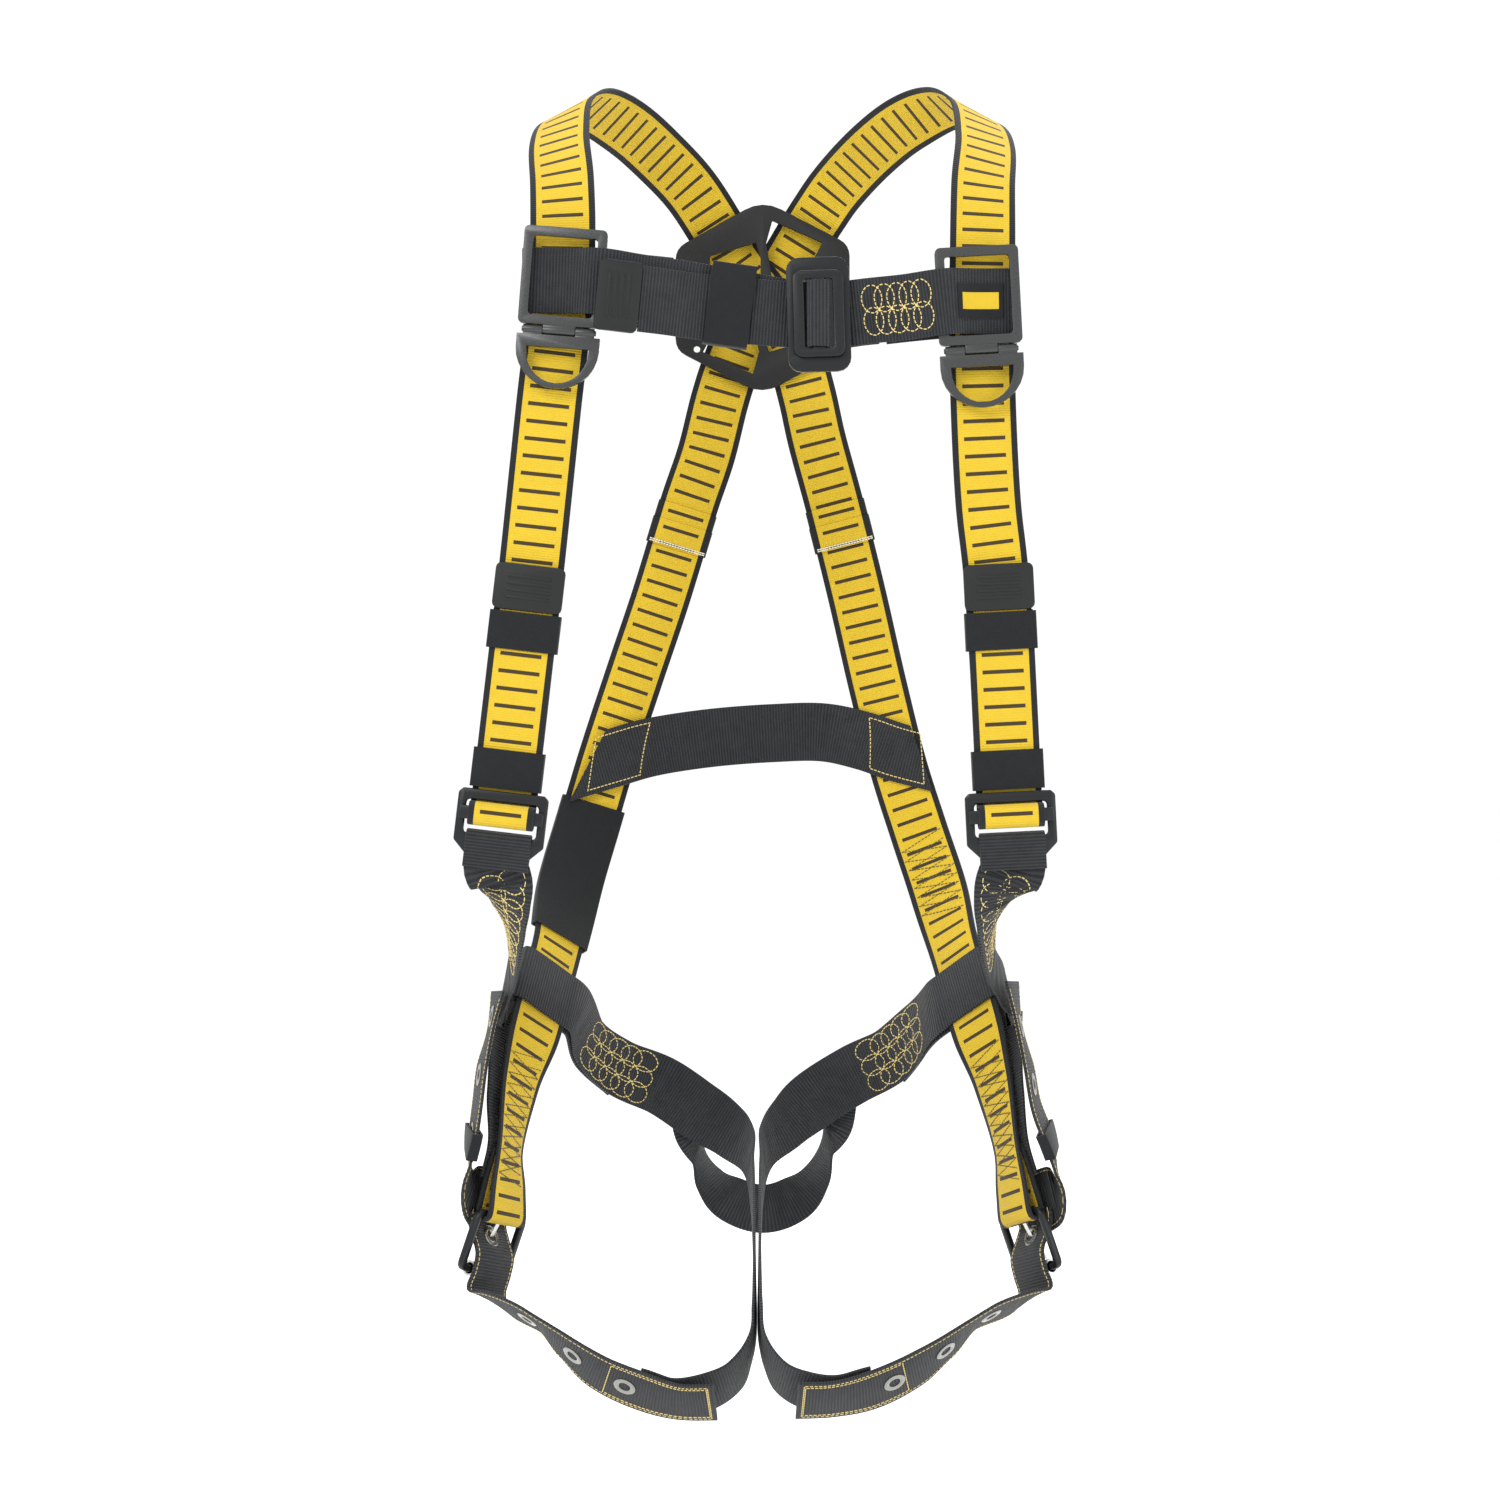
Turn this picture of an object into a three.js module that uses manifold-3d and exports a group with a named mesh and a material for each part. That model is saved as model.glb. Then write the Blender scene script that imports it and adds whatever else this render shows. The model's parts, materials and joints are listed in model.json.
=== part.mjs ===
// Full-body safety harness, modelled as it hangs when worn: the wearer faces -Y, +Z is up, and the
// wearer's right side is -X. Millimetres. The origin is the middle of the wearer's torso.
import * as THREE from 'three';
import { mergeVertices } from 'three/addons/utils/BufferGeometryUtils.js';
import Module from 'manifold-3d';

const wasm = await Module();
wasm.setup();

// Driving dimensions
const WEB = 45;            // width of all load-bearing webbing
const THICK = 2;           // thickness of one layer
const LINK = { w: 57, h: 67, bar: 6.3, d: 5 };          // rectangular chest link
const RING = { w: 57, drop: 36, bar: 7, d: 5 };         // lanyard ring under a chest link
const PIN_R = 1.8;          // hinge pin of a lanyard ring
const PIN_GAP = 0.35;      // running gap round that pin
const TORSO = { w: 62, top: 16.5, bottom: -29.5, win: 50, winTop: 9, winBottom: -14, d: 5 };
const LEG = { halfW: 29, halfH: 22.5, bar: 5, inW: 24 };  // tongue buckle frame
const PIVOT = LEG.halfH - LEG.bar / 2;                  // the frame's bars stand this far from its middle
const GROMMET = { hole: 5.3, barrel: 4.9, inner: 4.2, flange: 8, lift: 0.3, lip: 0.5 };
const GROMMET_PITCH = 42;
const DRING = { r: 4, half: 40, d: 6 };                   // dorsal D-ring

const YELLOW = { color: 0xe8bd2a, roughness: 0.75, metalness: 0 };
const BLACK = { color: 0x34363b, roughness: 0.8, metalness: 0 };
const STEEL = { color: 0x53565c, roughness: 0.4, metalness: 0.7 };
const DARK = { color: 0x26282c, roughness: 0.45, metalness: 0.5 };
const ZINC = { color: 0xb9bcbf, roughness: 0.3, metalness: 0.9 };
const PLASTIC = { color: 0x2a2b2f, roughness: 0.55, metalness: 0 };
const ELASTIC = { color: 0x2c2d31, roughness: 0.85, metalness: 0 };

const harness = new THREE.Group();
harness.name = 'safety_harness';

const V = (x, y, z) => new THREE.Vector3(x, y, z);

function add(name, geometry, look, at) {
  const mesh = new THREE.Mesh(geometry, new THREE.MeshStandardMaterial(look));
  mesh.name = name;
  if (at) at.decompose(mesh.position, mesh.quaternion, mesh.scale);
  harness.add(mesh);
  return mesh;
}

// A place in the harness: an origin with its own x, y and z directions. x is kept exactly, z nearly.
function place(origin, x, z) {
  const X = V(...x).normalize();
  const Y = new THREE.Vector3().crossVectors(V(...z), X).normalize();
  const Z = new THREE.Vector3().crossVectors(X, Y);
  return new THREE.Matrix4().makeBasis(X, Y, Z).setPosition(...origin);
}

// The same station seen from the harness: a point and a facing given in a place's own directions.
function inPlace(m, stations) {
  const turn = new THREE.Matrix3().setFromMatrix4(m);
  return stations.map(([x, y, z, fx, fy, fz]) => {
    const p = V(x, y, z).applyMatrix4(m);
    const f = V(fx, fy, fz).applyMatrix3(turn);
    return [p.x, p.y, p.z, f.x, f.y, f.z];
  });
}

// Stations whose width keeps one direction all the way, given as points: the facing is width x route.
function keepingWidth(points, width) {
  const w = V(...width).normalize();
  return points.map((p, i) => {
    const a = V(...points[Math.max(0, i - 1)]), b = V(...points[Math.min(points.length - 1, i + 1)]);
    const N = new THREE.Vector3().crossVectors(w, b.sub(a).normalize()).normalize();
    return [...p, N.x, N.y, N.z];
  });
}

// Webbing: stations are [x, y, z, facing x, y, z] along its middle. The facing is the side that
// looks away from the wearer, and the width lies across both the route and the facing.
class Webbing {
  constructor(stations, width = WEB, thick = THICK) {
    this.stations = stations;
    this.width = width;
    this.thick = thick;
    this.line = new THREE.CatmullRomCurve3(stations.map((s) => V(s[0], s[1], s[2])), false, 'centripetal');
    this.face = new THREE.CatmullRomCurve3(stations.map((s) => V(s[3], s[4], s[5]).normalize()), false, 'catmullrom', 0.35);
  }
  frame(t) {
    const p = this.line.getPoint(t);
    const T = this.line.getTangent(t);
    const f = this.face.getPoint(t).normalize();
    const W = new THREE.Vector3().crossVectors(T, f).normalize();
    const N = new THREE.Vector3().crossVectors(W, T);
    return { p, T, W, N };
  }
  // Rows closer together where the route bends or twists.
  rows(step) {
    const ts = [0];
    const spans = this.stations.length - 1;
    for (let i = 0; i < spans; i++) {
      const a = this.frame(i / spans), b = this.frame((i + 1) / spans);
      const bend = a.T.angleTo(b.T) + a.N.angleTo(b.N) * 0.7;
      const n = Math.max(1, Math.ceil(a.p.distanceTo(b.p) / step), Math.ceil(bend / 0.42));
      for (let k = 1; k <= n; k++) ts.push((i + k / n) / spans);
    }
    return ts;
  }
  geometry(step = 34) {
    return this.strip(this.rows(step).map((t) => this.frame(t)));
  }
  strip(frames) {
    const n = frames.length - 1;
    const g = new THREE.BoxGeometry(this.width, 1, this.thick, 1, n, 1);
    const pos = g.attributes.position;
    for (let i = 0; i < pos.count; i++) {
      const { p, W, N } = frames[Math.round((pos.getY(i) + 0.5) * n)];
      const v = p.clone().addScaledVector(W, pos.getX(i)).addScaledVector(N, pos.getZ(i));
      pos.setXYZ(i, v.x, v.y, v.z);
    }
    // Both faces split along the same diagonal, so a twist can't push one through the other.
    const back = g.groups[5];
    for (let k = back.start; k < back.start + back.count; k += 6) {
      const [a, b, d, , c] = g.index.array.slice(k, k + 6);
      g.index.array.set([a, b, c, a, c, d], k);
    }
    g.computeVertexNormals();
    return g;
  }
  // Where the route is this far along from its start, in millimetres.
  along(mm) {
    const steps = 1500;
    let gone = 0, last = this.line.getPoint(0);
    for (let i = 1; i <= steps; i++) {
      const p = this.line.getPoint(i / steps);
      gone += p.distanceTo(last);
      if (gone >= mm) return i / steps;
      last = p;
    }
    return 1;
  }
  // How far along the route passes nearest to a point.
  nearest(point) {
    let best = 0, far = Infinity, gone = 0, last = this.line.getPoint(0), at = 0;
    for (let i = 1; i <= 1500; i++) {
      const p = this.line.getPoint(i / 1500);
      gone += p.distanceTo(last);
      last = p;
      if (p.distanceTo(point) < far) { far = p.distanceTo(point); best = gone; at = i / 1500; }
    }
    return { mm: best, t: at };
  }
  matrix(t, lift = 0) {
    const { p, T, W, N } = this.frame(t);
    return new THREE.Matrix4().makeBasis(W, T, N).setPosition(p.addScaledVector(N, lift));
  }
}

// Solids for cutting and joining
function solid(g, m) {
  const c = g.clone();
  c.deleteAttribute('normal');
  c.deleteAttribute('uv');
  if (m) c.applyMatrix4(m);
  const q = mergeVertices(c.index ? c : mergeVertices(c), 1e-4);
  return new wasm.Manifold(new wasm.Mesh({
    numProp: 3,
    vertProperties: new Float32Array(q.attributes.position.array),
    triVerts: new Uint32Array(q.index.array),
  }));
}
function geometryOf(s) {
  const m = s.getMesh();
  const g = new THREE.BufferGeometry();
  g.setAttribute('position', new THREE.BufferAttribute(new Float32Array(m.vertProperties), 3));
  g.setIndex(new THREE.BufferAttribute(new Uint32Array(m.triVerts), 1));
  g.computeVertexNormals();
  return g;
}
const box = (w, d, h, x = 0, y = 0, z = 0) => new THREE.BoxGeometry(w, d, h).translate(x, y, z);
function join(...gs) {
  return geometryOf(gs.slice(1).reduce((a, g) => a.add(solid(g)), solid(gs[0])));
}
function cut(g, ...gs) {
  return geometryOf(gs.reduce((a, c) => a.subtract(solid(c)), solid(g)));
}

// A rounded rectangle in the x-z plane, with cut corners where chamfer says so.
function roundedPath(path, x0, z0, x1, z1, r, n = 3) {
  const corner = (cx, cz, from) => {
    for (let i = 0; i <= n; i++) {
      const a = from + (i / n) * Math.PI / 2;
      path.push(new THREE.Vector2(cx + r * Math.cos(a), cz + r * Math.sin(a)));
    }
  };
  corner(x1 - r, z1 - r, 0);
  corner(x0 + r, z1 - r, Math.PI / 2);
  corner(x0 + r, z0 + r, Math.PI);
  corner(x1 - r, z0 + r, 1.5 * Math.PI);
  return path;
}
// A flat piece: an outline in x-z with holes, d thick about y = 0.
function flat(outline, holes, d) {
  const shape = new THREE.Shape(outline);
  for (const h of holes) shape.holes.push(new THREE.Path(h));
  const g = new THREE.ExtrudeGeometry(shape, { depth: d, bevelEnabled: false, curveSegments: 8 });
  return g.translate(0, 0, -d / 2).rotateX(Math.PI / 2);
}
const rod = (r, length, n = 12) => new THREE.CylinderGeometry(r, r, length, n).rotateZ(Math.PI / 2);

// ---------------------------------------------------------------- hardware places
const rightLink = place([-135, -118, 323.2], [0.997, 0, -0.077], [0.077, 0, 0.997]);
const leftLink = place([148.8, -118, 310.5], [0.9986, 0, 0.052], [-0.052, 0, 0.9986]);
const rightTorso = place([-177.5, -112, -45], [0.993, 0, -0.117], [0.117, 0, 0.993]);
const leftTorso = place([171.5, -112, -45], [0.9988, 0, 0.05], [-0.05, 0, 0.9988]);
// Leg buckles: x along the bars, y away from the leg, z up the strap. The origin is the frame's middle.
const rightLeg = place([-190.6, -41.5, -350.6], [0.51, 0.82, -0.25], [0.30, 0.075, 0.952]);
const leftLeg = place([192, -41.5, -350.2], [0.42, -0.85, 0.3], [-0.26, 0.08, 0.96]);
// The strap above a leg buckle hangs straighter than the frame: the same bar, its own upward line.
const barOf = (m) => V(0, 0, PIVOT).applyMatrix4(m).toArray();
const rightLegUp = place(barOf(rightLeg), [0.51, 0.82, -0.25], [0.08, 0.24, 0.97]);
const leftLegUp = place(barOf(leftLeg), [0.42, -0.85, 0.3], [-0.15, 0.24, 0.96]);
// Hip crossings: x along the seat strap's loop, y away from the leg, z up the main strap.
const rightCross = place([-158, 34, -177], [0.70, 0.45, -0.55], [0.163, 0.652, 0.742]);
const leftCross = place([152, 34, -176], [0.70, -0.45, 0.55], [-0.2, 0.652, 0.742]);
const chestBuckle = place([39.5, -121, 297], [0.9995, 0, 0.03], [-0.03, 0, 0.9995]);

// ---------------------------------------------------------------- main straps
// From the free tail in front, round the torso slide bar, up the front, over the shoulder, across
// the back behind the dorsal pad, down to the other hip and round the leg buckle's pivot bar.
const BAR = { w: 58, h: 9.2, d: 3.6 };     // torso slide bar
function torsoTurn(m, tailUp) {
  // y is into the harness here: the frame's own plane is y = 0, so the layers behind it are +y
  return inPlace(m, keepingWidth([
    [0, 3.9, tailUp], [0, 3.9, 60], [0, 4.4, 24], [0, 4.5, 12.4], [0, 3.1, 7.5], [0, -1, 7.0], [0, -5.6, 7.1], [0, -8.3, 5.2],
    [0, -8.9, 0], [0, -8.3, -5.2], [0, -5.6, -7.1], [0, 0, -7.4], [0, 5.2, -6.6], [0, 7.6, -2], [0, 7.8, 8], [0, 7.6, 24],
  ], [1, 0, 0]));
}
// The strap above the bar is turned a little further than the bar itself.
function twisted(m, most, stations) {
  return inPlace(m, stations.map(([x, y, z, fx, fy, fz]) => {
    const a = most * Math.exp(-(((z - 46) / 24) ** 2));
    return [x * Math.cos(a) - y * Math.sin(a), x * Math.sin(a) + y * Math.cos(a), z, fx * Math.cos(a) - fy * Math.sin(a), fx * Math.sin(a) + fy * Math.cos(a), fz];
  }));
}
function legTurn(m, most) {
  // down the inner side of the pivot bar, round it and back up outside, sewn to itself
  const r = 5.2, round = [];
  for (let i = 0; i <= 6; i++) {
    const a = Math.PI * (1 + i / 6);
    round.push([0, r * Math.cos(a), r * Math.sin(a)]);
  }
  return twisted(m, most, keepingWidth([[0, -1.6, 50], [0, -3.8, 20], ...round, [0, 3.6, 20], [0, 1.6, 46]], [1, 0, 0]));
}

// Wearer's right shoulder to the left leg
const rightMain = new Webbing([
  ...torsoTurn(rightTorso, 141),
  [-169.8, -105.2, 20, 0, -1, 0],
  [-164.5, -105.2, 66, 0, -1, 0],
  [-157.5, -105.2, 126, 0, -1, 0],
  [-152.8, -107.5, 168, 0, -1, 0],
  [-145.6, -108, 236, 0, -1, 0],
  [-138.5, -108, 300, 0, -1, 0],
  [-136, -107, 350, 0, -1, 0.02],
  [-137.5, -92, 393, -0.12, -0.93, 0.3],
  [-141.5, -62, 430, -0.3, -0.72, 0.6],
  [-138, -26, 458, -0.45, -0.25, 0.85],
  [-121, 12, 468, -0.45, 0.3, 0.82],
  [-98, 48, 462, -0.35, 0.72, 0.6],
  [-76.5, 80, 449, -0.2, 0.88, 0.4],
  [-53, 109, 429, -0.1, 0.96, 0.24],
  [-35, 125, 404.5, 0, 1, 0.1],
  [-21.5, 130.2, 381, 0, 1, 0],
  [-9.7, 133.5, 365, 0, 1, 0],
  [2.4, 133.9, 349, 0, 1, 0],
  [13.5, 133.5, 333, 0, 1, 0],
  [21.5, 130, 318, 0, 1, 0],
  [29.5, 126, 299, 0, 1, 0],
  [37, 124.4, 272, 0, 1, 0],
  [44, 122.4, 240, 0, 1, 0],
  [57.5, 122, 190, 0.05, 1, 0],
  [74.5, 122, 122, 0.1, 1, 0],
  [91, 121, 50, 0.16, 1, 0],
  [106.5, 118, -12, 0.2, 0.98, 0],
  [122, 111, -62, 0.24, 0.95, -0.1],
  [135, 93, -104, 0.3, 0.9, -0.25],
  ...inPlace(leftCross, [[0, 0, 38, 0, 1, 0], [0, 0, 0, 0, 1, 0], [0, 0, -34, 0, 1, 0]]),
  [168, -6, -237, 0.86, 0.45, -0.2],
  ...legTurn(leftLegUp, -0.15),
]);
// Wearer's left shoulder to the right leg
const leftMain = new Webbing([
  ...torsoTurn(leftTorso, 141),
  [168.3, -105.2, 20, 0, -1, 0],
  [165.9, -105.2, 66, 0, -1, 0],
  [161.5, -105.2, 126, 0, -1, 0],
  [156.6, -107.5, 168, 0, -1, 0],
  [153, -108, 236, 0, -1, 0],
  [152, -108, 300, 0, -1, 0],
  [152.6, -107, 345, 0, -1, 0.02],
  [154.5, -90, 392, 0.12, -0.93, 0.3],
  [158.5, -60, 429, 0.3, -0.72, 0.6],
  [154, -22, 458, 0.45, -0.25, 0.85],
  [134, 14, 470, 0.4, 0.3, 0.85],
  [108, 42, 464, 0.3, 0.7, 0.62],
  [83, 74, 450, 0.2, 0.85, 0.45],
  [58, 111, 429, 0.1, 0.95, 0.2],
  [47, 122.5, 415, 0, 1, 0.08],
  [36, 130.5, 399, 0, 1, 0],
  [19.5, 136.4, 372.5, 0, 1, 0],
  [2.4, 137.0, 348, 0, 1, 0],
  [-12, 136.4, 322.5, 0, 1, 0],
  [-22.5, 130.3, 296, 0, 1, 0],
  [-30.5, 124.8, 270, 0, 1, 0],
  [-41, 122.4, 228, 0, 1, 0],
  [-53.5, 122, 191, -0.05, 1, 0],
  [-76.2, 122, 117, -0.05, 1, 0],
  [-96, 121, 58, -0.1, 1, 0],
  [-117, 120, -6, -0.15, 1, 0],
  [-131.5, 112, -56, -0.2, 0.97, -0.1],
  [-144, 94, -102, -0.3, 0.9, -0.25],
  ...inPlace(rightCross, [[0, 0, 38, 0, 1, 0], [0, 0, 0, 0, 1, 0], [0, 0, -34, 0, 1, 0]]),
  [-173, -8, -238, -0.86, 0.45, -0.2],
  ...legTurn(rightLegUp, 0.24),
]);
// The tongue comes out through a slot in the loop round the pivot bar.
const tongueSlot = (m) => box(10, 26, 21, 0, 0, -3).applyMatrix4(m);
add('right_main_strap', cut(rightMain.geometry(26), tongueSlot(leftLegUp)), YELLOW);
add('left_main_strap', cut(leftMain.geometry(26), tongueSlot(rightLegUp)), YELLOW);

// ---------------------------------------------------------------- hip straps
// Sewn round the lower bar of the torso buckle, then down the front of the hip, outside the seat
// strap's loop, and along the outside of the leg buckle strap.
function hipStart(m) {
  return inPlace(m, keepingWidth([
    [0, -5.4, -37], [0, -4.6, -20], [0, -3.8, -13.4], [0, 0, -12.0], [0, 3.8, -13.4], [0, 4.4, -22], [0, 6.4, -37],
  ], [-1, 0, 0]));
}
function hipEnd(m, most) {
  return twisted(m, most, [[0, 7.2, 82, 0, 1, 0], [0, 6.0, 50, 0, 1, 0], [0, 7.0, 26, 0, 1, 0]]);
}
const rightHip = new Webbing([
  ...hipStart(rightTorso),
  [-178, -101.4, -92, -0.3, -0.95, 0],
  [-176.8, -95, -103, -0.54, -0.84, 0],
  [-175.6, -85, -116, -0.75, -0.66, 0],
  [-174.8, -72, -131, -0.89, -0.45, 0],
  [-176, -53, -147, -0.96, -0.28, 0],
  [-180.4, -28, -165, -0.98, 0.1, 0],
  ...inPlace(rightCross, [[-34, 0.5, -27, -0.7, 0.7, 0], [-20, 10.4, -24, -0.2, 1, 0]]),
  ...hipEnd(rightLegUp, 0.24),
]);
const leftHip = new Webbing([
  ...hipStart(leftTorso),
  [169, -101.6, -92, 0.3, -0.95, 0],
  [165.6, -95, -103, 0.54, -0.84, 0],
  [163, -85, -115, 0.75, -0.66, 0],
  [161.4, -72, -128, 0.89, -0.45, 0],
  [163.4, -53, -143, 0.96, -0.28, 0],
  [170, -28, -162, 0.98, 0.1, 0],
  ...inPlace(leftCross, [[34, 0.5, -27, 0.7, 0.7, 0], [20, 10.4, -24, 0.2, 1, 0]]),
  ...hipEnd(leftLegUp, -0.15),
]);
add('right_hip_strap', rightHip.geometry(), BLACK);
add('left_hip_strap', leftHip.geometry(), BLACK);

// ---------------------------------------------------------------- seat straps
// Sewn tail outside the main strap, round the main strap's front edge, and down the back of the
// thigh to the crotch, forward between the legs and up under the start of the leg strap.
// A shared line behind the hip: the sewn tail lies outside it and the strap itself inside it.
function seatStart(m, s, shared) {
  const side = (off, flip) => shared.map(([x, y, z, fx, fy, fz]) => {
    const f = V(fx, fy, fz).normalize();
    return [x + f.x * off, y + f.y * off, z + f.z * off, f.x * flip, f.y * flip, f.z * flip];
  });
  const r = 3.6, loop = [[30, 2.9, 0], [14, r, 0], [-23, r, 0], [-26, 2.4, 0], [-27.3, 0, 0], [-26, -2.4, 0], [-23, -r, 0], [14, -r, 0], [30, -2.9, 0]];
  const points = loop.map(([x, y, z]) => [s * x, y, z]);
  return [...side(1.8, 1).reverse(), ...inPlace(m, keepingWidth(points, [0, 0, -s])), ...side(-1.8, -1)];
}
const rightSeat = new Webbing([
  ...seatStart(rightCross, 1, [[-127.6, 71.5, -222, -0.5, 0.75, -0.42], [-106, 91, -242, -0.3, 0.88, -0.3]]),
  [-74, 105, -257, 0.1, -0.98, 0.1],
  [-45.6, 111, -277, 0, -1, 0],
  [-23, 108, -292, -0.66, -0.75, 0],
  [-9, 96, -304, -0.95, -0.3, 0],
  [-5.6, 66, -324, -1, -0.06, 0],
  [-4.2, 10, -355, -1, 0, 0],
  [-3.8, -40, -384, -1, 0.05, 0],
  [-4.6, -64, -404, -1, 0.1, 0.05],
  [-7.6, -79, -419, -0.88, 0.3, 0.35],
  [-18.5, -89, -435, -0.45, 0.6, 0.65],
  [-36, -93, -444, -0.1, 0.7, 0.7],
  [-60, -91.2, -448.3, 0.02, 0.72, 0.69],
  [-84, -88, -442.6, 0.12, 0.74, 0.66],
]);
const leftSeat = new Webbing([
  ...seatStart(leftCross, -1, [[117, 73, -212, 0.5, 0.75, -0.42], [99, 92, -233, 0.3, 0.88, -0.3]]),
  [72, 105, -248, -0.1, -0.98, 0.1],
  [43, 111, -267, 0, -1, 0],
  [21, 108, -286, 0.66, -0.75, 0],
  [5.4, 96, -301, 0.95, -0.3, 0],
  [1.3, 64, -322, 1, -0.06, 0],
  [-0.1, 10, -353, 1, 0, 0],
  [-0.5, -46, -386, 1, 0.05, 0],
  [0.2, -68, -402, 1, 0.1, 0.05],
  [3.2, -84, -418, 0.88, 0.3, 0.35],
  [14.5, -95.5, -434, 0.45, 0.6, 0.65],
  [32, -99, -442, 0.1, 0.7, 0.7],
  [52, -96.7, -444.8, -0.02, 0.72, 0.69],
  [76, -92.6, -440.5, -0.12, 0.74, 0.66],
]);
add('right_seat_strap', rightSeat.geometry(), BLACK);
add('left_seat_strap', leftSeat.geometry(), BLACK);

// ---------------------------------------------------------------- leg straps
// Over the seat strap's end, round the front of the thigh, behind the buckle's roller, out through
// the frame over the pivot bar, and up through a keeper to a free end.
function legThrough(m) {
  return inPlace(m, [
    [0, -9.6, -PIVOT - 14, 0, 0.96, -0.2],
    [0, -8.0, -PIVOT, 0, 1, -0.05],
    [0, -5.8, -7.5, 0, 0.9, -0.4],
    [0, 3.6, 3.7, 0, 0.75, -0.66],
    [0, 10.0, 12, 0, 0.92, -0.36],
    [0, 12.4, PIVOT + 2, 0, 1, -0.1],
  ]);
}
const rightLegStrap = new Webbing([
  [-31, -100.5, -450, -0.05, -0.70, -0.71],
  [-57, -98.5, -450, 0, -0.70, -0.71],
  [-84, -95.2, -443, -0.12, -0.73, -0.67],
  [-113, -91.5, -431, -0.33, -0.68, -0.66],
  [-136, -86, -415, -0.5, -0.52, -0.68],
  [-158, -77, -399, -0.66, -0.28, -0.7],
  ...legThrough(rightLeg),
  [-207, -45, -308, -0.93, 0.1, 0.05],
  [-206, -46, -292, -0.97, -0.1, 0.05],
  [-203.4, -46, -272, -0.97, -0.2, 0.05],
  [-200.5, -46, -250, -0.97, -0.22, 0.1],
  [-197.5, -44, -225, -0.97, -0.22, 0.15],
  [-191.8, -39, -199, -0.97, -0.15, 0.2],
  [-187, -35, -172, -0.95, -0.25, 0.2],
]);
const leftLegStrap = new Webbing([
  [25, -106.5, -447.5, 0.05, -0.70, -0.71],
  [50, -104.6, -446.8, 0, -0.70, -0.71],
  [77, -100.6, -441.5, 0.12, -0.73, -0.67],
  [107, -94.5, -429, 0.33, -0.68, -0.66],
  [131, -87, -414, 0.5, -0.52, -0.68],
  [155, -77, -397, 0.66, -0.28, -0.7],
  ...legThrough(leftLeg),
  [211.5, -47, -312, 0.93, 0.1, 0.05],
  [209.5, -48, -297, 0.97, -0.1, 0.05],
  [203.5, -48, -274, 0.97, -0.2, 0.05],
  [195.5, -48, -252, 0.97, -0.22, 0.1],
  [190.5, -46, -224, 0.97, -0.22, 0.1],
  [184, -40, -195, 0.97, -0.15, 0.2],
  [179.5, -36, -165, 0.94, -0.25, 0.25],
]);

function legStrap(name, side, web, m) {
  const engaged = web.nearest(V(0, 3.6, 3.7).applyMatrix4(m));
  const total = web.nearest(V(...web.stations.at(-1))).mm;
  const marks = [-4, -3, -2, 0, 2, 3, 4].map((k) => engaged.mm + k * GROMMET_PITCH).filter((s) => s > 30 && s < total - 12);
  const drill = new THREE.CylinderGeometry(GROMMET.hole, GROMMET.hole, 8, 12).rotateX(Math.PI / 2);
  const holes = marks.map((mm) => drill.clone().applyMatrix4(web.matrix(web.along(mm))));
  // the strap lies flat under each grommet
  const flat = 9.6;
  let frames = web.rows(18).map((t) => ({ ...web.frame(t), mm: web.nearest(web.line.getPoint(t)).mm }));
  for (const mm of marks) {
    const at = web.frame(web.along(mm));
    frames = frames.filter((f) => Math.abs(f.mm - mm) > flat + 3.5);
    for (const d of [-flat, flat]) frames.push({ ...at, p: at.p.clone().addScaledVector(at.T, d), mm: mm + d });
  }
  frames.sort((a, b) => a.mm - b.mm);
  add(name, cut(web.strip(frames), ...holes), BLACK);
  // a spool: two flanges on a barrel that goes through the strap
  const { barrel, inner, flange, lift, lip } = GROMMET;
  const a = THICK / 2 + lift, b = a + lip;
  const spool = new THREE.LatheGeometry([
    [inner, -b], [flange, -b], [flange, -a], [barrel, -a], [barrel, a], [flange, a], [flange, b], [inner, b], [inner, -b],
  ].map(([x, y]) => new THREE.Vector2(x, y)), 12).rotateX(Math.PI / 2);
  marks.forEach((mm, i) => add(`${side}_grommet_${i + 1}`, geometryOf(solid(spool)), ZINC, web.matrix(web.along(mm))));
}
legStrap('right_leg_strap', 'right', rightLegStrap, rightLeg);
legStrap('left_leg_strap', 'left', leftLegStrap, leftLeg);

// ---------------------------------------------------------------- lumbar and sub-pelvic straps
const lumbar = new Webbing([
  [-152, 105.5, -18, 0.14, -1, 0],
  [-134, 109, -12.5, 0.15, -1, 0],
  [-112, 113.2, -6, 0.15, -1, 0],
  [-84, 119, 2, 0.12, -1, 0],
  [-40, 125.5, 9, 0, -1, 0],
  [10, 127, 13, 0, -1, 0],
  [50, 125, 13.5, 0, -1, 0],
  [80, 119.8, 7, -0.15, -1, 0],
  [105, 114.7, -1.5, -0.2, -1, 0],
  [126, 110, -7, -0.2, -1, 0],
  [142, 106.4, -11, -0.2, -1, 0],
]);
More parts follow.
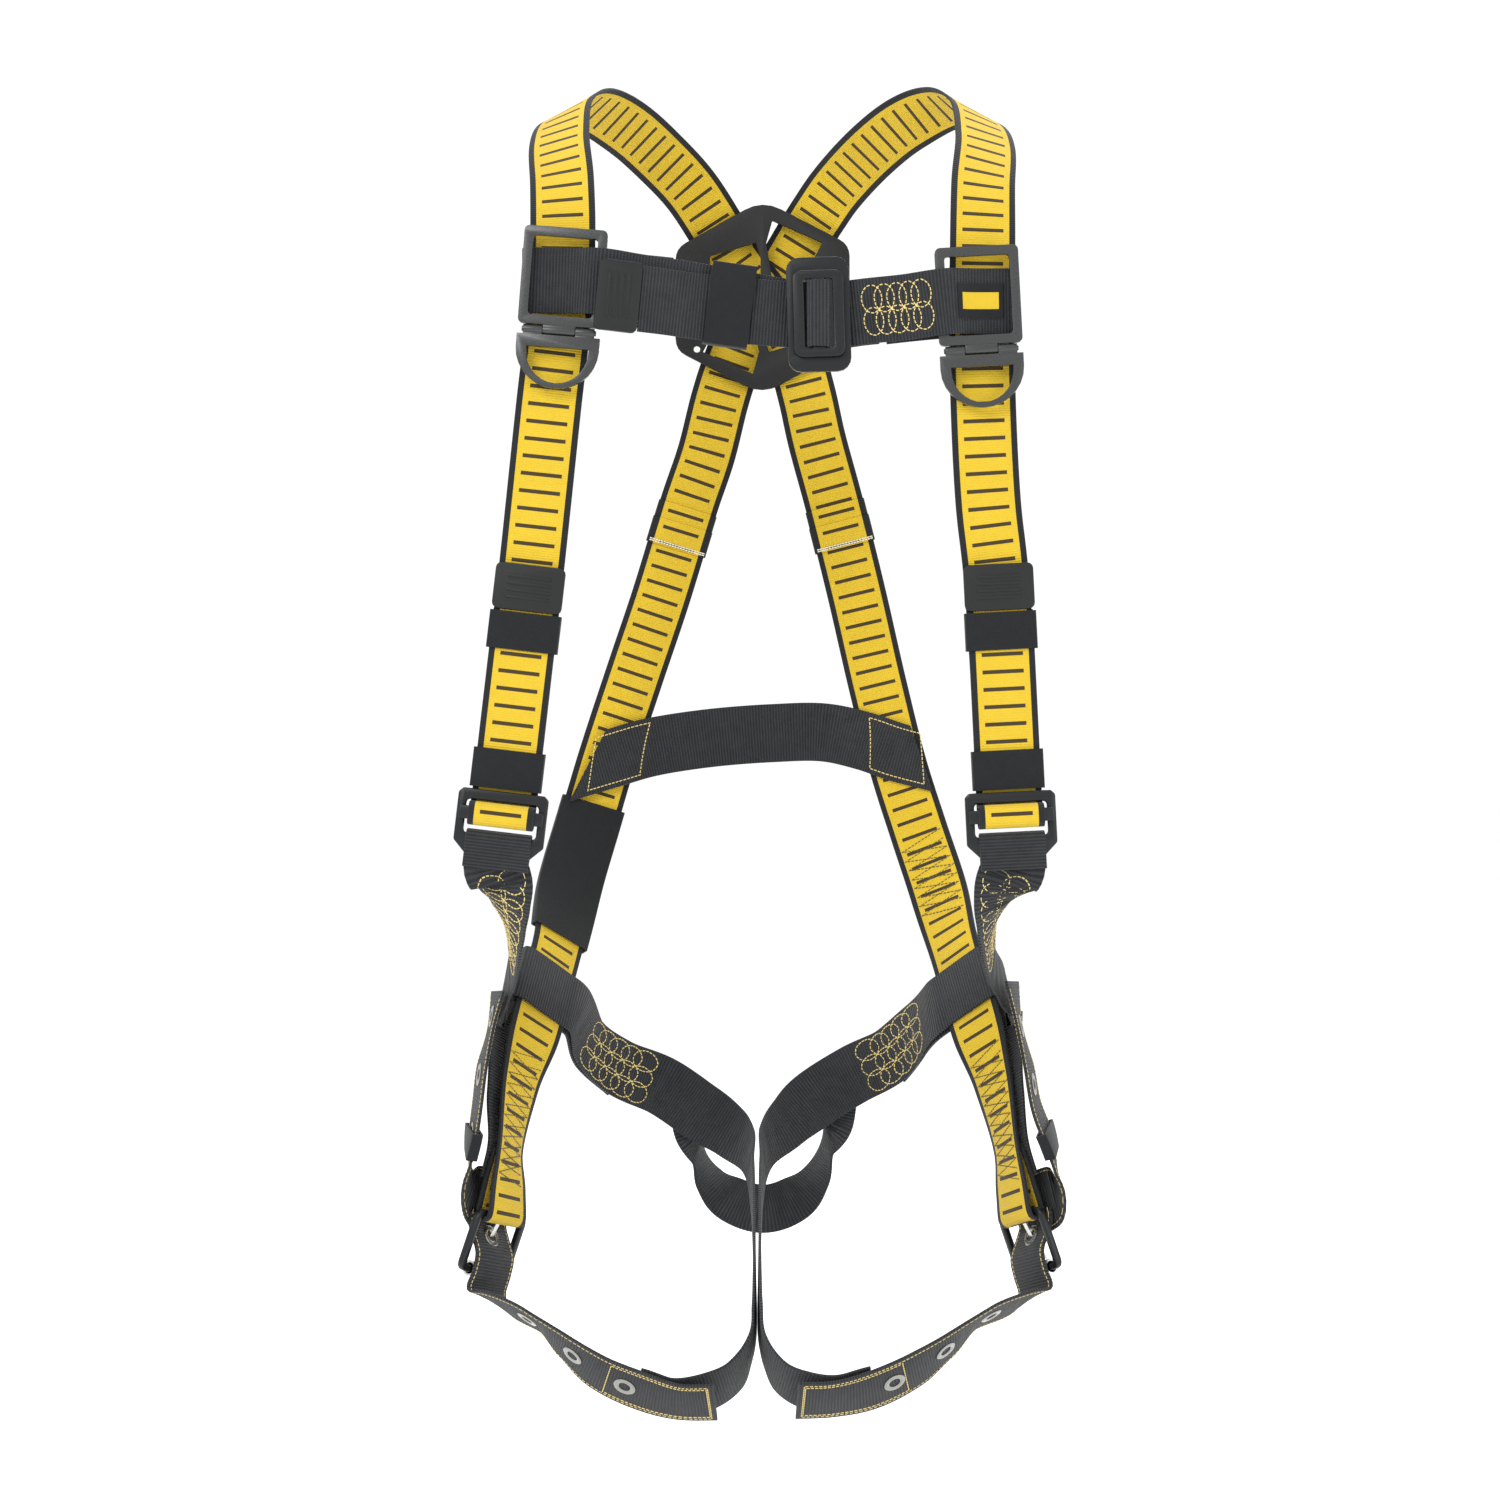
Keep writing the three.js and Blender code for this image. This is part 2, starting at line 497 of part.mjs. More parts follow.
// its ends are cut to the line of the straps they are sewn to
const slice = (x, z, tilt, out) => box(60, 80, 140, out * 30, 0, 0).applyMatrix4(new THREE.Matrix4().makeRotationY(tilt).setPosition(x, 110, z));
add('lumbar_strap', cut(lumbar.geometry(28), slice(-131.6, -12, 0.47, -1), slice(123.8, -5, -0.33, 1)), BLACK);
const subPelvic = new Webbing([
  [-50, 116.5, -272, -0.05, 1, 0.05],
  [-49, 121, -288, -0.35, 0.93, -0.05],
  [-48, 133, -311, -0.98, 0.2, -0.05],
  [-39, 135, -333, -0.8, 0.5, -0.3],
  [-21, 132, -348, -0.3, 0.85, -0.4],
  [3, 131, -355, 0, 0.9, -0.4],
  [26, 132, -348, 0.3, 0.85, -0.4],
  [44, 135, -331, 0.8, 0.5, -0.3],
  [53.5, 133, -304, 0.97, 0.2, -0.1],
  [55, 121, -283, 0.35, 0.93, -0.05],
  [56, 116, -266, 0.05, 1, 0.05],
], 38);
add('sub_pelvic_strap', subPelvic.geometry(28), BLACK);

// ---------------------------------------------------------------- chest straps
// x runs across the chest here. The strap is threaded through a link: in front of its inner bar,
// behind its outer bar, round the main strap and back behind it.
const rightChestStrap = new Webbing(keepingWidth([
  [-62, -112.4, 315], [-85, -111, 317.5], [-108, -105.6, 320], [-122, -104.4, 321], [-155, -104.5, 322],
  [-161.4, -105.6, 322.3], [-163.2, -108.4, 322.4], [-161.4, -111.4, 322.3], [-155, -112.7, 322],
  [-140, -113.2, 321.5], [-127, -116.2, 321], [-116, -121.4, 320.2], [-106, -122.4, 319.5], [-84, -118.2, 316.5],
  [-45, -115.4, 311], [0, -114.2, 303], [30, -114.2, 298], [42.5, -116.4, 297.2],
  [46.3, -121.5, 297], [46.3, -127, 297], [43.9, -129.8, 297], [39.5, -130.3, 297], [35.1, -129.8, 297], [32.7, -127, 297],
  [32.4, -121.8, 297], [28.5, -117.4, 297.3], [16, -117.0, 298], [-20, -117.8, 300.8], [-45, -119.6, 303], [-62, -123.2, 305], [-82, -126.2, 307],
], [0, 0, 1]));
add('right_chest_strap', rightChestStrap.geometry(30), BLACK);

const leftChestStrap = new Webbing(keepingWidth([
  [84, -108.4, 301], [108, -105.4, 304], [136, -104.4, 306.5], [168, -104.6, 307.6],
  [174.8, -105.6, 307.7], [176.6, -108.4, 307.7], [174.8, -111.4, 307.7], [168, -112.7, 307.6],
  [155, -113.2, 307.4], [142, -116.2, 307], [131, -121.4, 306.4], [121, -122.4, 305.4], [99, -118.6, 302.6], [76, -116.6, 300.5],
  [63, -116.2, 299], [57.5, -115.2, 298.6], [53.2, -113.0, 298.4], [52.0, -109.8, 298.4], [54.2, -106.8, 298.6],
  [62, -106.2, 299.4], [70, -109.8, 300], [80, -112.7, 300.6],
], [0, 0, 1]));
add('left_chest_strap', leftChestStrap.geometry(30), BLACK);

// ---------------------------------------------------------------- dorsal pad and D-ring
const PAD = { x: 2.4, y: 120.8, z: 348.4, d: 4 };
const padOutline = [];
{
  const corners = [[0, 75], [-67, 37.5], [-67, -40.5], [0, -75], [67, -37.5], [67, 40.5]];
  const r = [16, 9, 9, 16, 9, 9];
  const n = corners.length;
  for (let i = 0; i < n; i++) {
    const p = new THREE.Vector2(...corners[i]);
    const a = new THREE.Vector2(...corners[(i + n - 1) % n]).sub(p).normalize();
    const b = new THREE.Vector2(...corners[(i + 1) % n]).sub(p).normalize();
    for (let k = 0; k <= 4; k++) {
      const t = k / 4;
      const q = p.clone().addScaledVector(a, r[i] * (1 - t) * (1 - t)).addScaledVector(b, r[i] * t * t);
      padOutline.push(q);
    }
  }
}
const turned = (pts) => pts.map(([x, z]) => [-x, -z]);
const upperRight = [[7.5, 59], [46, 42], [39.5, 30], [30, 8], [9, 4], [2.8, 42]];
const upperLeft = [[-40.5, 32], [-5, 42], [-1.5, 30], [-1.5, 6], [-40.5, 6]];
const asPath = (pts) => pts.map(([x, z]) => new THREE.Vector2(x, z));
const pad = flat(padOutline, [
  asPath(upperRight), asPath(upperLeft), asPath(turned(upperRight)), asPath(turned(upperLeft)),
  Array.from({ length: 10 }, (_, i) => new THREE.Vector2(-50.5 + 2.6 * Math.cos(i * Math.PI / 5), -40 + 2.6 * Math.sin(i * Math.PI / 5))),
], PAD.d);
add('dorsal_pad', pad, PLASTIC, new THREE.Matrix4().makeTranslation(PAD.x, PAD.y, PAD.z));

// The D-ring hangs from its straight bar, which the crossing straps hold against the pad. Its flat
// loop is bent outwards so that it lies on the straps.
const ringBar = V(PAD.x, 127.8, 349);
{
  const half = DRING.half;
  const bar = rod(DRING.r, 2 * half + 7, 14);
  const outer = [], inner = [];
  for (let i = 0; i <= 12; i++) {
    const a = Math.PI + (i / 12) * Math.PI;
    outer.push(new THREE.Vector2((half + 4.5) * Math.cos(a), -16 + 38 * Math.sin(a)));
    inner.push(new THREE.Vector2((half - 3.5) * Math.cos(a), -16 + 29.5 * Math.sin(a)));
  }
  outer.unshift(new THREE.Vector2(-half - 4.5, 2));
  outer.push(new THREE.Vector2(half + 4.5, 2));
  inner.unshift(new THREE.Vector2(-half + 3.5, -0.5));
  inner.push(new THREE.Vector2(half - 3.5, -0.5));
  const loop = flat(outer, [inner], DRING.d);
  const whole = join(bar, loop);
  const lean = new THREE.Matrix4().makeRotationX(0.62).setPosition(ringBar);
  add('dorsal_ring', whole, STEEL, lean);
}

// ---------------------------------------------------------------- chest links and lanyard rings
function chestLink(side, m) {
  const { w, h, bar, d } = LINK;
  const outline = roundedPath([], -w / 2, -h / 2, w / 2, h / 2, 3.5);
  const hole = roundedPath([], -w / 2 + bar, -h / 2 + bar, w / 2 - bar, h / 2 - bar, 2.5);
  const axisZ = -h / 2 - 3.5;
  const bore = rod(PIN_R + PIN_GAP, 80, 12).translate(0, 0, axisZ);
  // middle knuckle on the link, two outer knuckles on the ring
  const knuckle = (x, length) => new THREE.CylinderGeometry(3.1, 3.1, length, 16).rotateZ(Math.PI / 2).translate(x, 0, axisZ);
  const link = cut(join(flat(outline, [hole], d), knuckle(0, 22), box(22, 4.6, 3.6, 0, 0, -h / 2 - 0.9)), bore);
  add(`${side}_chest_link`, link, STEEL, m);
  const top = axisZ - 3.5, R = RING.w / 2;
  const out = [new THREE.Vector2(-R, top)], inn = [];
  const a0 = 9;      // straight sides before the bow
  for (let i = 0; i <= 14; i++) {
    const a = Math.PI + (i / 14) * Math.PI;
    out.push(new THREE.Vector2(R * Math.cos(a), top - a0 + (RING.drop - a0) * Math.sin(a)));
  }
  out.push(new THREE.Vector2(R, top));
  const r = R - RING.bar;
  inn.push(new THREE.Vector2(-r, top - 8));
  for (let i = 1; i < 14; i++) {
    const a = Math.PI + (i / 14) * Math.PI;
    inn.push(new THREE.Vector2(r * Math.cos(a), top - a0 - 1 + (RING.drop - a0 - 4.4) * Math.sin(a)));
  }
  inn.push(new THREE.Vector2(r, top - 8));
  const ring = cut(join(flat(out, [inn], RING.d), knuckle(-18, 13), knuckle(18, 13), box(13, 4.2, 4, -18, 0, top + 0.6), box(13, 4.2, 4, 18, 0, top + 0.6)), bore);
  add(`${side}_lanyard_ring`, ring, STEEL, m);
  add(`${side}_ring_pin`, rod(PIN_R, 51, 12), STEEL, m.clone().multiply(new THREE.Matrix4().makeTranslation(0, 0, axisZ)));
}
chestLink('right', rightLink);
chestLink('left', leftLink);

// ---------------------------------------------------------------- chest buckle
{
  const frame = flat(roundedPath([], -21.5, -39, 21.5, 39, 9, 4), [roundedPath([], -14.5, -26.5, 15, 26.5, 4, 2)], 5);
  // a bar stands behind the outer side for the left chest strap's loop
  const rear = [box(4.4, 3.2, 62, 18.2, 10.6, 0), box(4.4, 11, 5, 18.2, 6.7, -30.5), box(4.4, 11, 5, 18.2, 6.7, 30.5)];
  add('chest_buckle_frame', join(frame, ...rear), DARK, chestBuckle);
  const slot = (x0, x1) => roundedPath([], x0, -23.6, x1, 23.6, 1.2, 1);
  const plate = flat(roundedPath([], -17.5, -29.5, 17.5, 29.5, 6, 3), [slot(-9.8, -3.6), slot(3.6, 9.8)], 4);
  add('chest_buckle_plate', plate, DARK, chestBuckle.clone().multiply(new THREE.Matrix4().makeTranslation(0, -5.2, 0)));
}

// ---------------------------------------------------------------- torso buckles
function torsoBuckle(side, m) {
  const { w, top, bottom, win, winTop, winBottom, d } = TORSO;
  const x = w / 2, c = 10;
  const outline = [[x, top - 3], [x - 3, top], [-x + 3, top], [-x, top - 3], [-x, bottom + c], [-x + c, bottom], [x - c, bottom], [x, bottom + c]];
  const frame = flat(asPath(outline), [roundedPath([], -win / 2, winBottom, win / 2, winTop, 1.5, 1)], d);
  add(`${side}_torso_buckle`, frame, DARK, m);
  add(`${side}_torso_slide_bar`, box(BAR.w, BAR.d, BAR.h), DARK, m.clone().multiply(new THREE.Matrix4().makeTranslation(0, -5, 0)));
}
torsoBuckle('right', rightTorso);
torsoBuckle('left', leftTorso);

// ---------------------------------------------------------------- leg buckles
function legBuckle(side, m) {
  const { halfW, halfH, bar, inW } = LEG;
  const frame = flat(roundedPath([], -halfW, -halfH, halfW, halfH, 6, 3), [roundedPath([], -inW, -halfH + bar, inW, halfH - bar, 3, 2)], bar);
  add(`${side}_leg_buckle`, frame, DARK, m);
  const ring = (r0, r1, length, z, n = 16) => {
    const circle = (r) => Array.from({ length: n }, (_, i) => new THREE.Vector2(r * Math.cos(i * 2 * Math.PI / n), r * Math.sin(i * 2 * Math.PI / n)));
    const s = new THREE.Shape(circle(r1));
    s.holes.push(new THREE.Path(circle(r0)));
    return new THREE.ExtrudeGeometry(s, { depth: length, bevelEnabled: false }).translate(0, 0, -length / 2).rotateY(Math.PI / 2).translate(0, 0, z);
  };
  add(`${side}_leg_roller`, ring(3.9, 5.7, 34, -PIVOT), ZINC, m);
  // tongue: an eye round the pivot bar, and a flat finger that leans out over the roller
  const lean = Math.atan2(7.6, 2 * PIVOT);
  const finger = new THREE.BoxGeometry(4.4, 2.4, 2 * PIVOT + 3).translate(0, 0, -PIVOT - 5.5).rotateX(lean).translate(0, 0.4, PIVOT);
  const eye = ring(3.9, 5.9, 5, PIVOT);
  add(`${side}_leg_tongue`, cut(join(eye, finger), rod(3.9, 8, 16).translate(0, 0, PIVOT)), ZINC, m);
}
legBuckle('right', rightLeg);
legBuckle('left', leftLeg);

// ---------------------------------------------------------------- keepers, end caps, sleeve, patch
// A keeper is a flat tube round two layers, made from a thick short webbing with its middle cut out.
function tube(name, stations, width, inThick, wall, look) {
  const outer = new Webbing(stations, width + 2 * wall, inThick + 2 * wall);
  const g = outer.geometry(40);
  const inner = new Webbing(stations, width, inThick);
  const longer = new Webbing([
    stations[0].map((v, i) => (i < 3 ? v * 1 + (v - stations[1][i]) * 0.4 : v)),
    ...stations,
    stations.at(-1).map((v, i) => (i < 3 ? v * 1 + (v - stations.at(-2)[i]) * 0.4 : v)),
  ], width, inThick);
  add(name, cut(g, longer.geometry(40)), look);
  return inner;
}
for (const [side, m] of [['right', rightTorso], ['left', leftTorso]]) {
  // round the tail and the layer behind it, at these heights above the slide bar
  const piece = (z0, z1, y) => inPlace(m, [[0, y, z0, 0, -1, 0], [0, y, z1, 0, -1, 0]]);
  tube(`${side}_upper_keeper`, piece(114, 140, 5.35), 46.5, 6.6, 1.4, ELASTIC);
  tube(`${side}_lower_keeper`, piece(18, 45, 5.75), 46.5, 7.6, 1.4, ELASTIC);
}
// Short tubes that follow a strap
function alongStrap(web, t0, t1, lift = 0, n = 3) {
  return Array.from({ length: n }, (_, i) => {
    const { p, N } = web.frame(t0 + (t1 - t0) * i / (n - 1));
    p.addScaledVector(N, lift);
    return [p.x, p.y, p.z, N.x, N.y, N.z];
  });
}
for (const [side, web, at] of [['right', rightLegStrap, V(-204, -46, -278)], ['left', leftLegStrap, V(204, -48, -277)]]) {
  const { mm } = web.nearest(at);
  tube(`${side}_leg_keeper`, alongStrap(web, web.along(mm - 9.5), web.along(mm + 9.5)), 46.5, 5.2, 1.4, ELASTIC);
}
tube('chest_keeper', [[-36, -117.3, 306, 0, -1, 0], [-21, -116.4, 304, 0, -1, 0], [-6, -115.9, 302, 0, -1, 0]], 54, 8, 1.4, ELASTIC);
{
  // fabric sleeve round the strap above the wearer's right hip
  const a = leftMain.nearest(V(-128, 116, -42)).t, b = leftMain.nearest(V(-151.5, 66, -141)).t;
  tube('label_sleeve', alongStrap(leftMain, a, b, 0, 8), 47.5, 5.6, 1.2, BLACK);
}

// Moulded cap on the end of a tail: x across the strap, z along it, the ribs on the -y side
function cap(name, length, m) {
  const body = flat(roundedPath([], -24, 0.3, 24, length, 4, 3), [], 4.6);
  const ribs = [0.28, 0.43, 0.58, 0.73].map((k) => box(30, 1, 2, 0, -2.4, k * length));
  add(name, join(body, ...ribs), PLASTIC, m);
}
cap('right_torso_end_cap', 32, rightTorso.clone().multiply(new THREE.Matrix4().makeTranslation(0, 3.1, 141)));
cap('left_torso_end_cap', 32, leftTorso.clone().multiply(new THREE.Matrix4().makeTranslation(0, 3.1, 141)));
{
  const { p, W, T } = rightChestStrap.frame(1);
  cap('chest_end_cap', 30, place(p.toArray(), W.toArray(), T.toArray()));
}

// Woven patch sewn on the chest strap where it lies in the left link
{
  const web = new Webbing(alongStrap(leftChestStrap, leftChestStrap.nearest(V(166, -112.7, 307.6)).t, leftChestStrap.nearest(V(134, -119.5, 306.5)).t, 0, 5), 24, 0.8);
  const lifted = web.stations.map(([x, y, z, fx, fy, fz]) => [x + fx * 1.8, y + fy * 1.8, z + fz * 1.8, fx, fy, fz]);
  add('chest_patch', new Webbing(lifted, 24, 0.8).geometry(30), BLACK);
}

export default harness;
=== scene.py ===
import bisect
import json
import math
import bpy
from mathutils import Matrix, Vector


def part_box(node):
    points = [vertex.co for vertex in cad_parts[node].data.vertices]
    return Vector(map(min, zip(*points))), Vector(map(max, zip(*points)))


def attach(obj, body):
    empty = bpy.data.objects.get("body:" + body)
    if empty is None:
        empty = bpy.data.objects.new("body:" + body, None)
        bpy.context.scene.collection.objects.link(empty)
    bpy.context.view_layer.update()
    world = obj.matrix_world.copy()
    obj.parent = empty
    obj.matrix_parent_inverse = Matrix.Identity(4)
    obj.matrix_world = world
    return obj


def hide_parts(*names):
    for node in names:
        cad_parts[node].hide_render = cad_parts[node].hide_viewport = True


bl_info = {
    "name": "Safety Harness",
    "version": (1, 0, 0),
    "blender": (4, 5, 0),
    "location": "View3D > Sidebar > Harness",
    "description": "Finishes the webbing, stitching and fittings of a full-body safety harness",
    "category": "Object",
}

import bmesh
import bpy
from mathutils import Matrix, Vector

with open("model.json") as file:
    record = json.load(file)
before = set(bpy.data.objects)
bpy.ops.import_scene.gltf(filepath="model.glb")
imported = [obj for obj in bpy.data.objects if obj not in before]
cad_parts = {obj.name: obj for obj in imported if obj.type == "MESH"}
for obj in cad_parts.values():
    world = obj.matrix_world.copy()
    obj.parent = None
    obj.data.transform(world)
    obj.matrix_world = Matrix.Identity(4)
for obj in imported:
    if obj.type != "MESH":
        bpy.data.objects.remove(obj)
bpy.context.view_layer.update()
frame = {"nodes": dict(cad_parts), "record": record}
ROOT = "harness"
MM = 0.001

# ------------------------------------------------------------------ routes of the webbing
# Millimetres, as on the cutting table: x across a strap, y along it, z out of its face.


def place(origin, x, z):
    """The frame of a fitting, from its origin and the ways its x and z point."""
    X = Vector(x).normalized()
    Y = Vector(z).cross(X).normalized()
    Z = X.cross(Y)
    m = Matrix((X, Y, Z)).transposed().to_4x4()
    m.translation = Vector(origin)
    return m


def in_place(m, stations):
    """Stations of a fitting carried to where it sits."""
    turn = m.to_3x3()
    return [[*(m @ Vector(s[:3])), *(turn @ Vector(s[3:]))] for s in stations]


def keeping_width(points, width):
    """Stations whose faces follow the bends while the width keeps its own way."""
    w = Vector(width).normalized()
    out = []
    for i, p in enumerate(points):
        a, b = Vector(points[max(0, i - 1)]), Vector(points[min(len(points) - 1, i + 1)])
        out.append([*p, *w.cross((b - a).normalized()).normalized()])
    return out


def blend(a, b, c0, c1, w):
    """The cubic that leaves a at slope c0 and reaches b at slope c1."""
    return a + c0 * w + (-3 * a + 3 * b - 2 * c0 - c1) * w * w + (2 * a - 2 * b + c0 + c1) * w ** 3


class Route:
    """A strap's middle line, with the way its face looks at each station."""

    def __init__(self, stations, width=45.0, thick=2.0):
        per_span = 40
        self.width, self.thick = width, thick
        self.points = [Vector(s[:3]) for s in stations]
        self.faces = [Vector(s[3:]).normalized() for s in stations]
        n = per_span * (len(stations) - 1)
        self.marks = [0.0]
        last = self.spot(0.0)
        for i in range(1, n + 1):
            here = self.spot(i / n)
            self.marks.append(self.marks[-1] + (here - last).length)
            last = here
        self.length = self.marks[-1]

    def around(self, values, t):
        """The two values about t, their neighbours and how far t lies between them."""
        n = len(values)
        p = (n - 1) * min(max(t, 0.0), 1.0)
        i = min(int(p), n - 2)
        b, c = values[i], values[i + 1]
        a = values[i - 1] if i else 2 * b - c
        d = values[i + 2] if i + 2 < n else 2 * c - b
        return a, b, c, d, p - i

    def spot(self, t):
        """The point at t, from 0 at the first station to 1 at the last."""
        a, b, c, d, w = self.around(self.points, t)
        k1 = (c - b).length ** 0.5
        k0, k2 = (b - a).length ** 0.5, (d - c).length ** 0.5
        s0 = ((b - a) / k0 - (c - a) / (k0 + k1) + (c - b) / k1) * k1
        s1 = ((c - b) / k1 - (d - b) / (k1 + k2) + (d - c) / k2) * k1
        return blend(b, c, s0, s1, w)

    def frame(self, t):
        """The point at t, with the way along, the way across and the way out of the face."""
        t = min(max(t, 0.0), 1.0)
        T = (self.spot(min(t + 1e-4, 1.0)) - self.spot(max(t - 1e-4, 0.0))).normalized()
        a, b, c, d, w = self.around(self.faces, t)
        face = blend(b, c, 0.35 * (c - a), 0.35 * (d - b), w).normalized()
        W = T.cross(face).normalized()
        return self.spot(t), T, W, W.cross(T)

    def at(self, s):
        """The frame s millimetres along, carried straight on past either end."""
        inside = min(max(s, 0.0), self.length)
        i = min(max(bisect.bisect_left(self.marks, inside), 1), len(self.marks) - 1)
        a, b = self.marks[i - 1], self.marks[i]
        t = (i - 1 + (inside - a) / max(b - a, 1e-9)) / (len(self.marks) - 1)
        p, T, W, N = self.frame(t)
        return p + T * (s - inside), T, W, N

    def near(self, x, y, z):
        """How far along the route passes closest to a point."""
        aim = Vector((x, y, z))
        n = len(self.marks) - 1
        return self.marks[min(range(n + 1), key=lambda i: (self.spot(i / n) - aim).length_squared)]


# Where the fittings sit, as origin, x and z.
RIGHT_TORSO = place([-177.5, -112, -45], [0.993, 0, -0.117], [0.117, 0, 0.993])
LEFT_TORSO = place([171.5, -112, -45], [0.9988, 0, 0.05], [-0.05, 0, 0.9988])
RIGHT_LEG = place([-190.6, -41.5, -350.6], [0.51, 0.82, -0.25], [0.30, 0.075, 0.952])
LEFT_LEG = place([192, -41.5, -350.2], [0.42, -0.85, 0.3], [-0.26, 0.08, 0.96])
RIGHT_CROSS = place([-158, 34, -177], [0.70, 0.45, -0.55], [0.163, 0.652, 0.742])
LEFT_CROSS = place([152, 34, -176], [0.70, -0.45, 0.55], [-0.2, 0.652, 0.742])
PIVOT = 20.0  # a leg buckle's pivot bar, above its origin


def bar_of(m):
    """Where a leg buckle's pivot bar lies."""
    return m @ Vector((0, 0, PIVOT))


RIGHT_LEG_UP = place(bar_of(RIGHT_LEG), [0.51, 0.82, -0.25], [0.08, 0.24, 0.97])
LEFT_LEG_UP = place(bar_of(LEFT_LEG), [0.42, -0.85, 0.3], [-0.15, 0.24, 0.96])


def torso_turn(m, tail_up):
    """Tail, round the slide bar, and up behind."""
    return in_place(m, keeping_width([
        [0, 3.9, tail_up], [0, 3.9, 60], [0, 4.4, 24], [0, 4.5, 12.4], [0, 3.1, 7.5], [0, -1, 7.0],
        [0, -5.6, 7.1], [0, -8.3, 5.2], [0, -8.9, 0], [0, -8.3, -5.2], [0, -5.6, -7.1], [0, 0, -7.4],
        [0, 5.2, -6.6], [0, 7.6, -2], [0, 7.8, 8], [0, 7.6, 24],
    ], (1, 0, 0)))


def twisted(m, most, stations):
    """Stations turned about the strap's own line, most of all 46 above the bar."""
    out = []
    for x, y, z, fx, fy, fz in stations:
        a = most * math.exp(-(((z - 46) / 24) ** 2))
        c, s = math.cos(a), math.sin(a)
        out.append([x * c - y * s, x * s + y * c, z, fx * c - fy * s, fx * s + fy * c, fz])
    return in_place(m, out)


def leg_turn(m, most):
    """Down inside the leg buckle's pivot bar, round it and up outside."""
    r = 5.2
    turn = [math.pi * (1 + i / 6) for i in range(7)]
    bend = [[0, r * math.cos(a), r * math.sin(a)] for a in turn]
    points = [[0, -1.6, 50], [0, -3.8, 20], *bend, [0, 3.6, 20], [0, 1.6, 46]]
    return twisted(m, most, keeping_width(points, (1, 0, 0)))


def hip_start(m):
    """Sewn round the lower bar of the torso buckle."""
    return in_place(m, keeping_width([
        [0, -5.4, -37], [0, -4.6, -20], [0, -3.8, -13.4], [0, 0, -12.0], [0, 3.8, -13.4], [0, 4.4, -22],
        [0, 6.4, -37],
    ], (-1, 0, 0)))


def hip_end(m, most):
    """The tail along the outside of the leg buckle's strap."""
    return twisted(m, most, [[0, 7.2, 82, 0, 1, 0], [0, 6.0, 50, 0, 1, 0], [0, 7.0, 26, 0, 1, 0]])


def leg_through(m):
    """Behind the roller, out through the frame and over the pivot bar."""
    return in_place(m, [
        [0, -9.6, -PIVOT - 14, 0, 0.96, -0.2],
        [0, -8.0, -PIVOT, 0, 1, -0.05],
        [0, -5.8, -7.5, 0, 0.9, -0.4],
        [0, 3.6, 3.7, 0, 0.75, -0.66],
        [0, 10.0, 12, 0, 0.92, -0.36],
        [0, 12.4, PIVOT + 2, 0, 1, -0.1],
    ])


def seat_start(m, s, shared):
    """The sewn tail outside, the loop round the main strap, and the strap inside."""

    def side(off, flip):
        """The shared run, lifted off its middle and facing the chosen way."""
        out = []
        for x, y, z, *face in shared:
            f = Vector(face).normalized()
            out.append([*(Vector((x, y, z)) + f * off), *(f * flip)])
        return out

    r = 3.6
    loop = [
        [30, 2.9, 0], [14, r, 0], [-23, r, 0], [-26, 2.4, 0], [-27.3, 0, 0],
        [-26, -2.4, 0], [-23, -r, 0], [14, -r, 0], [30, -2.9, 0],
    ]
    points = [[s * x, y, z] for x, y, z in loop]
    off = 1.8
    return [*side(off, 1)[::-1], *in_place(m, keeping_width(points, (0, 0, -s))), *side(-off, -1)]


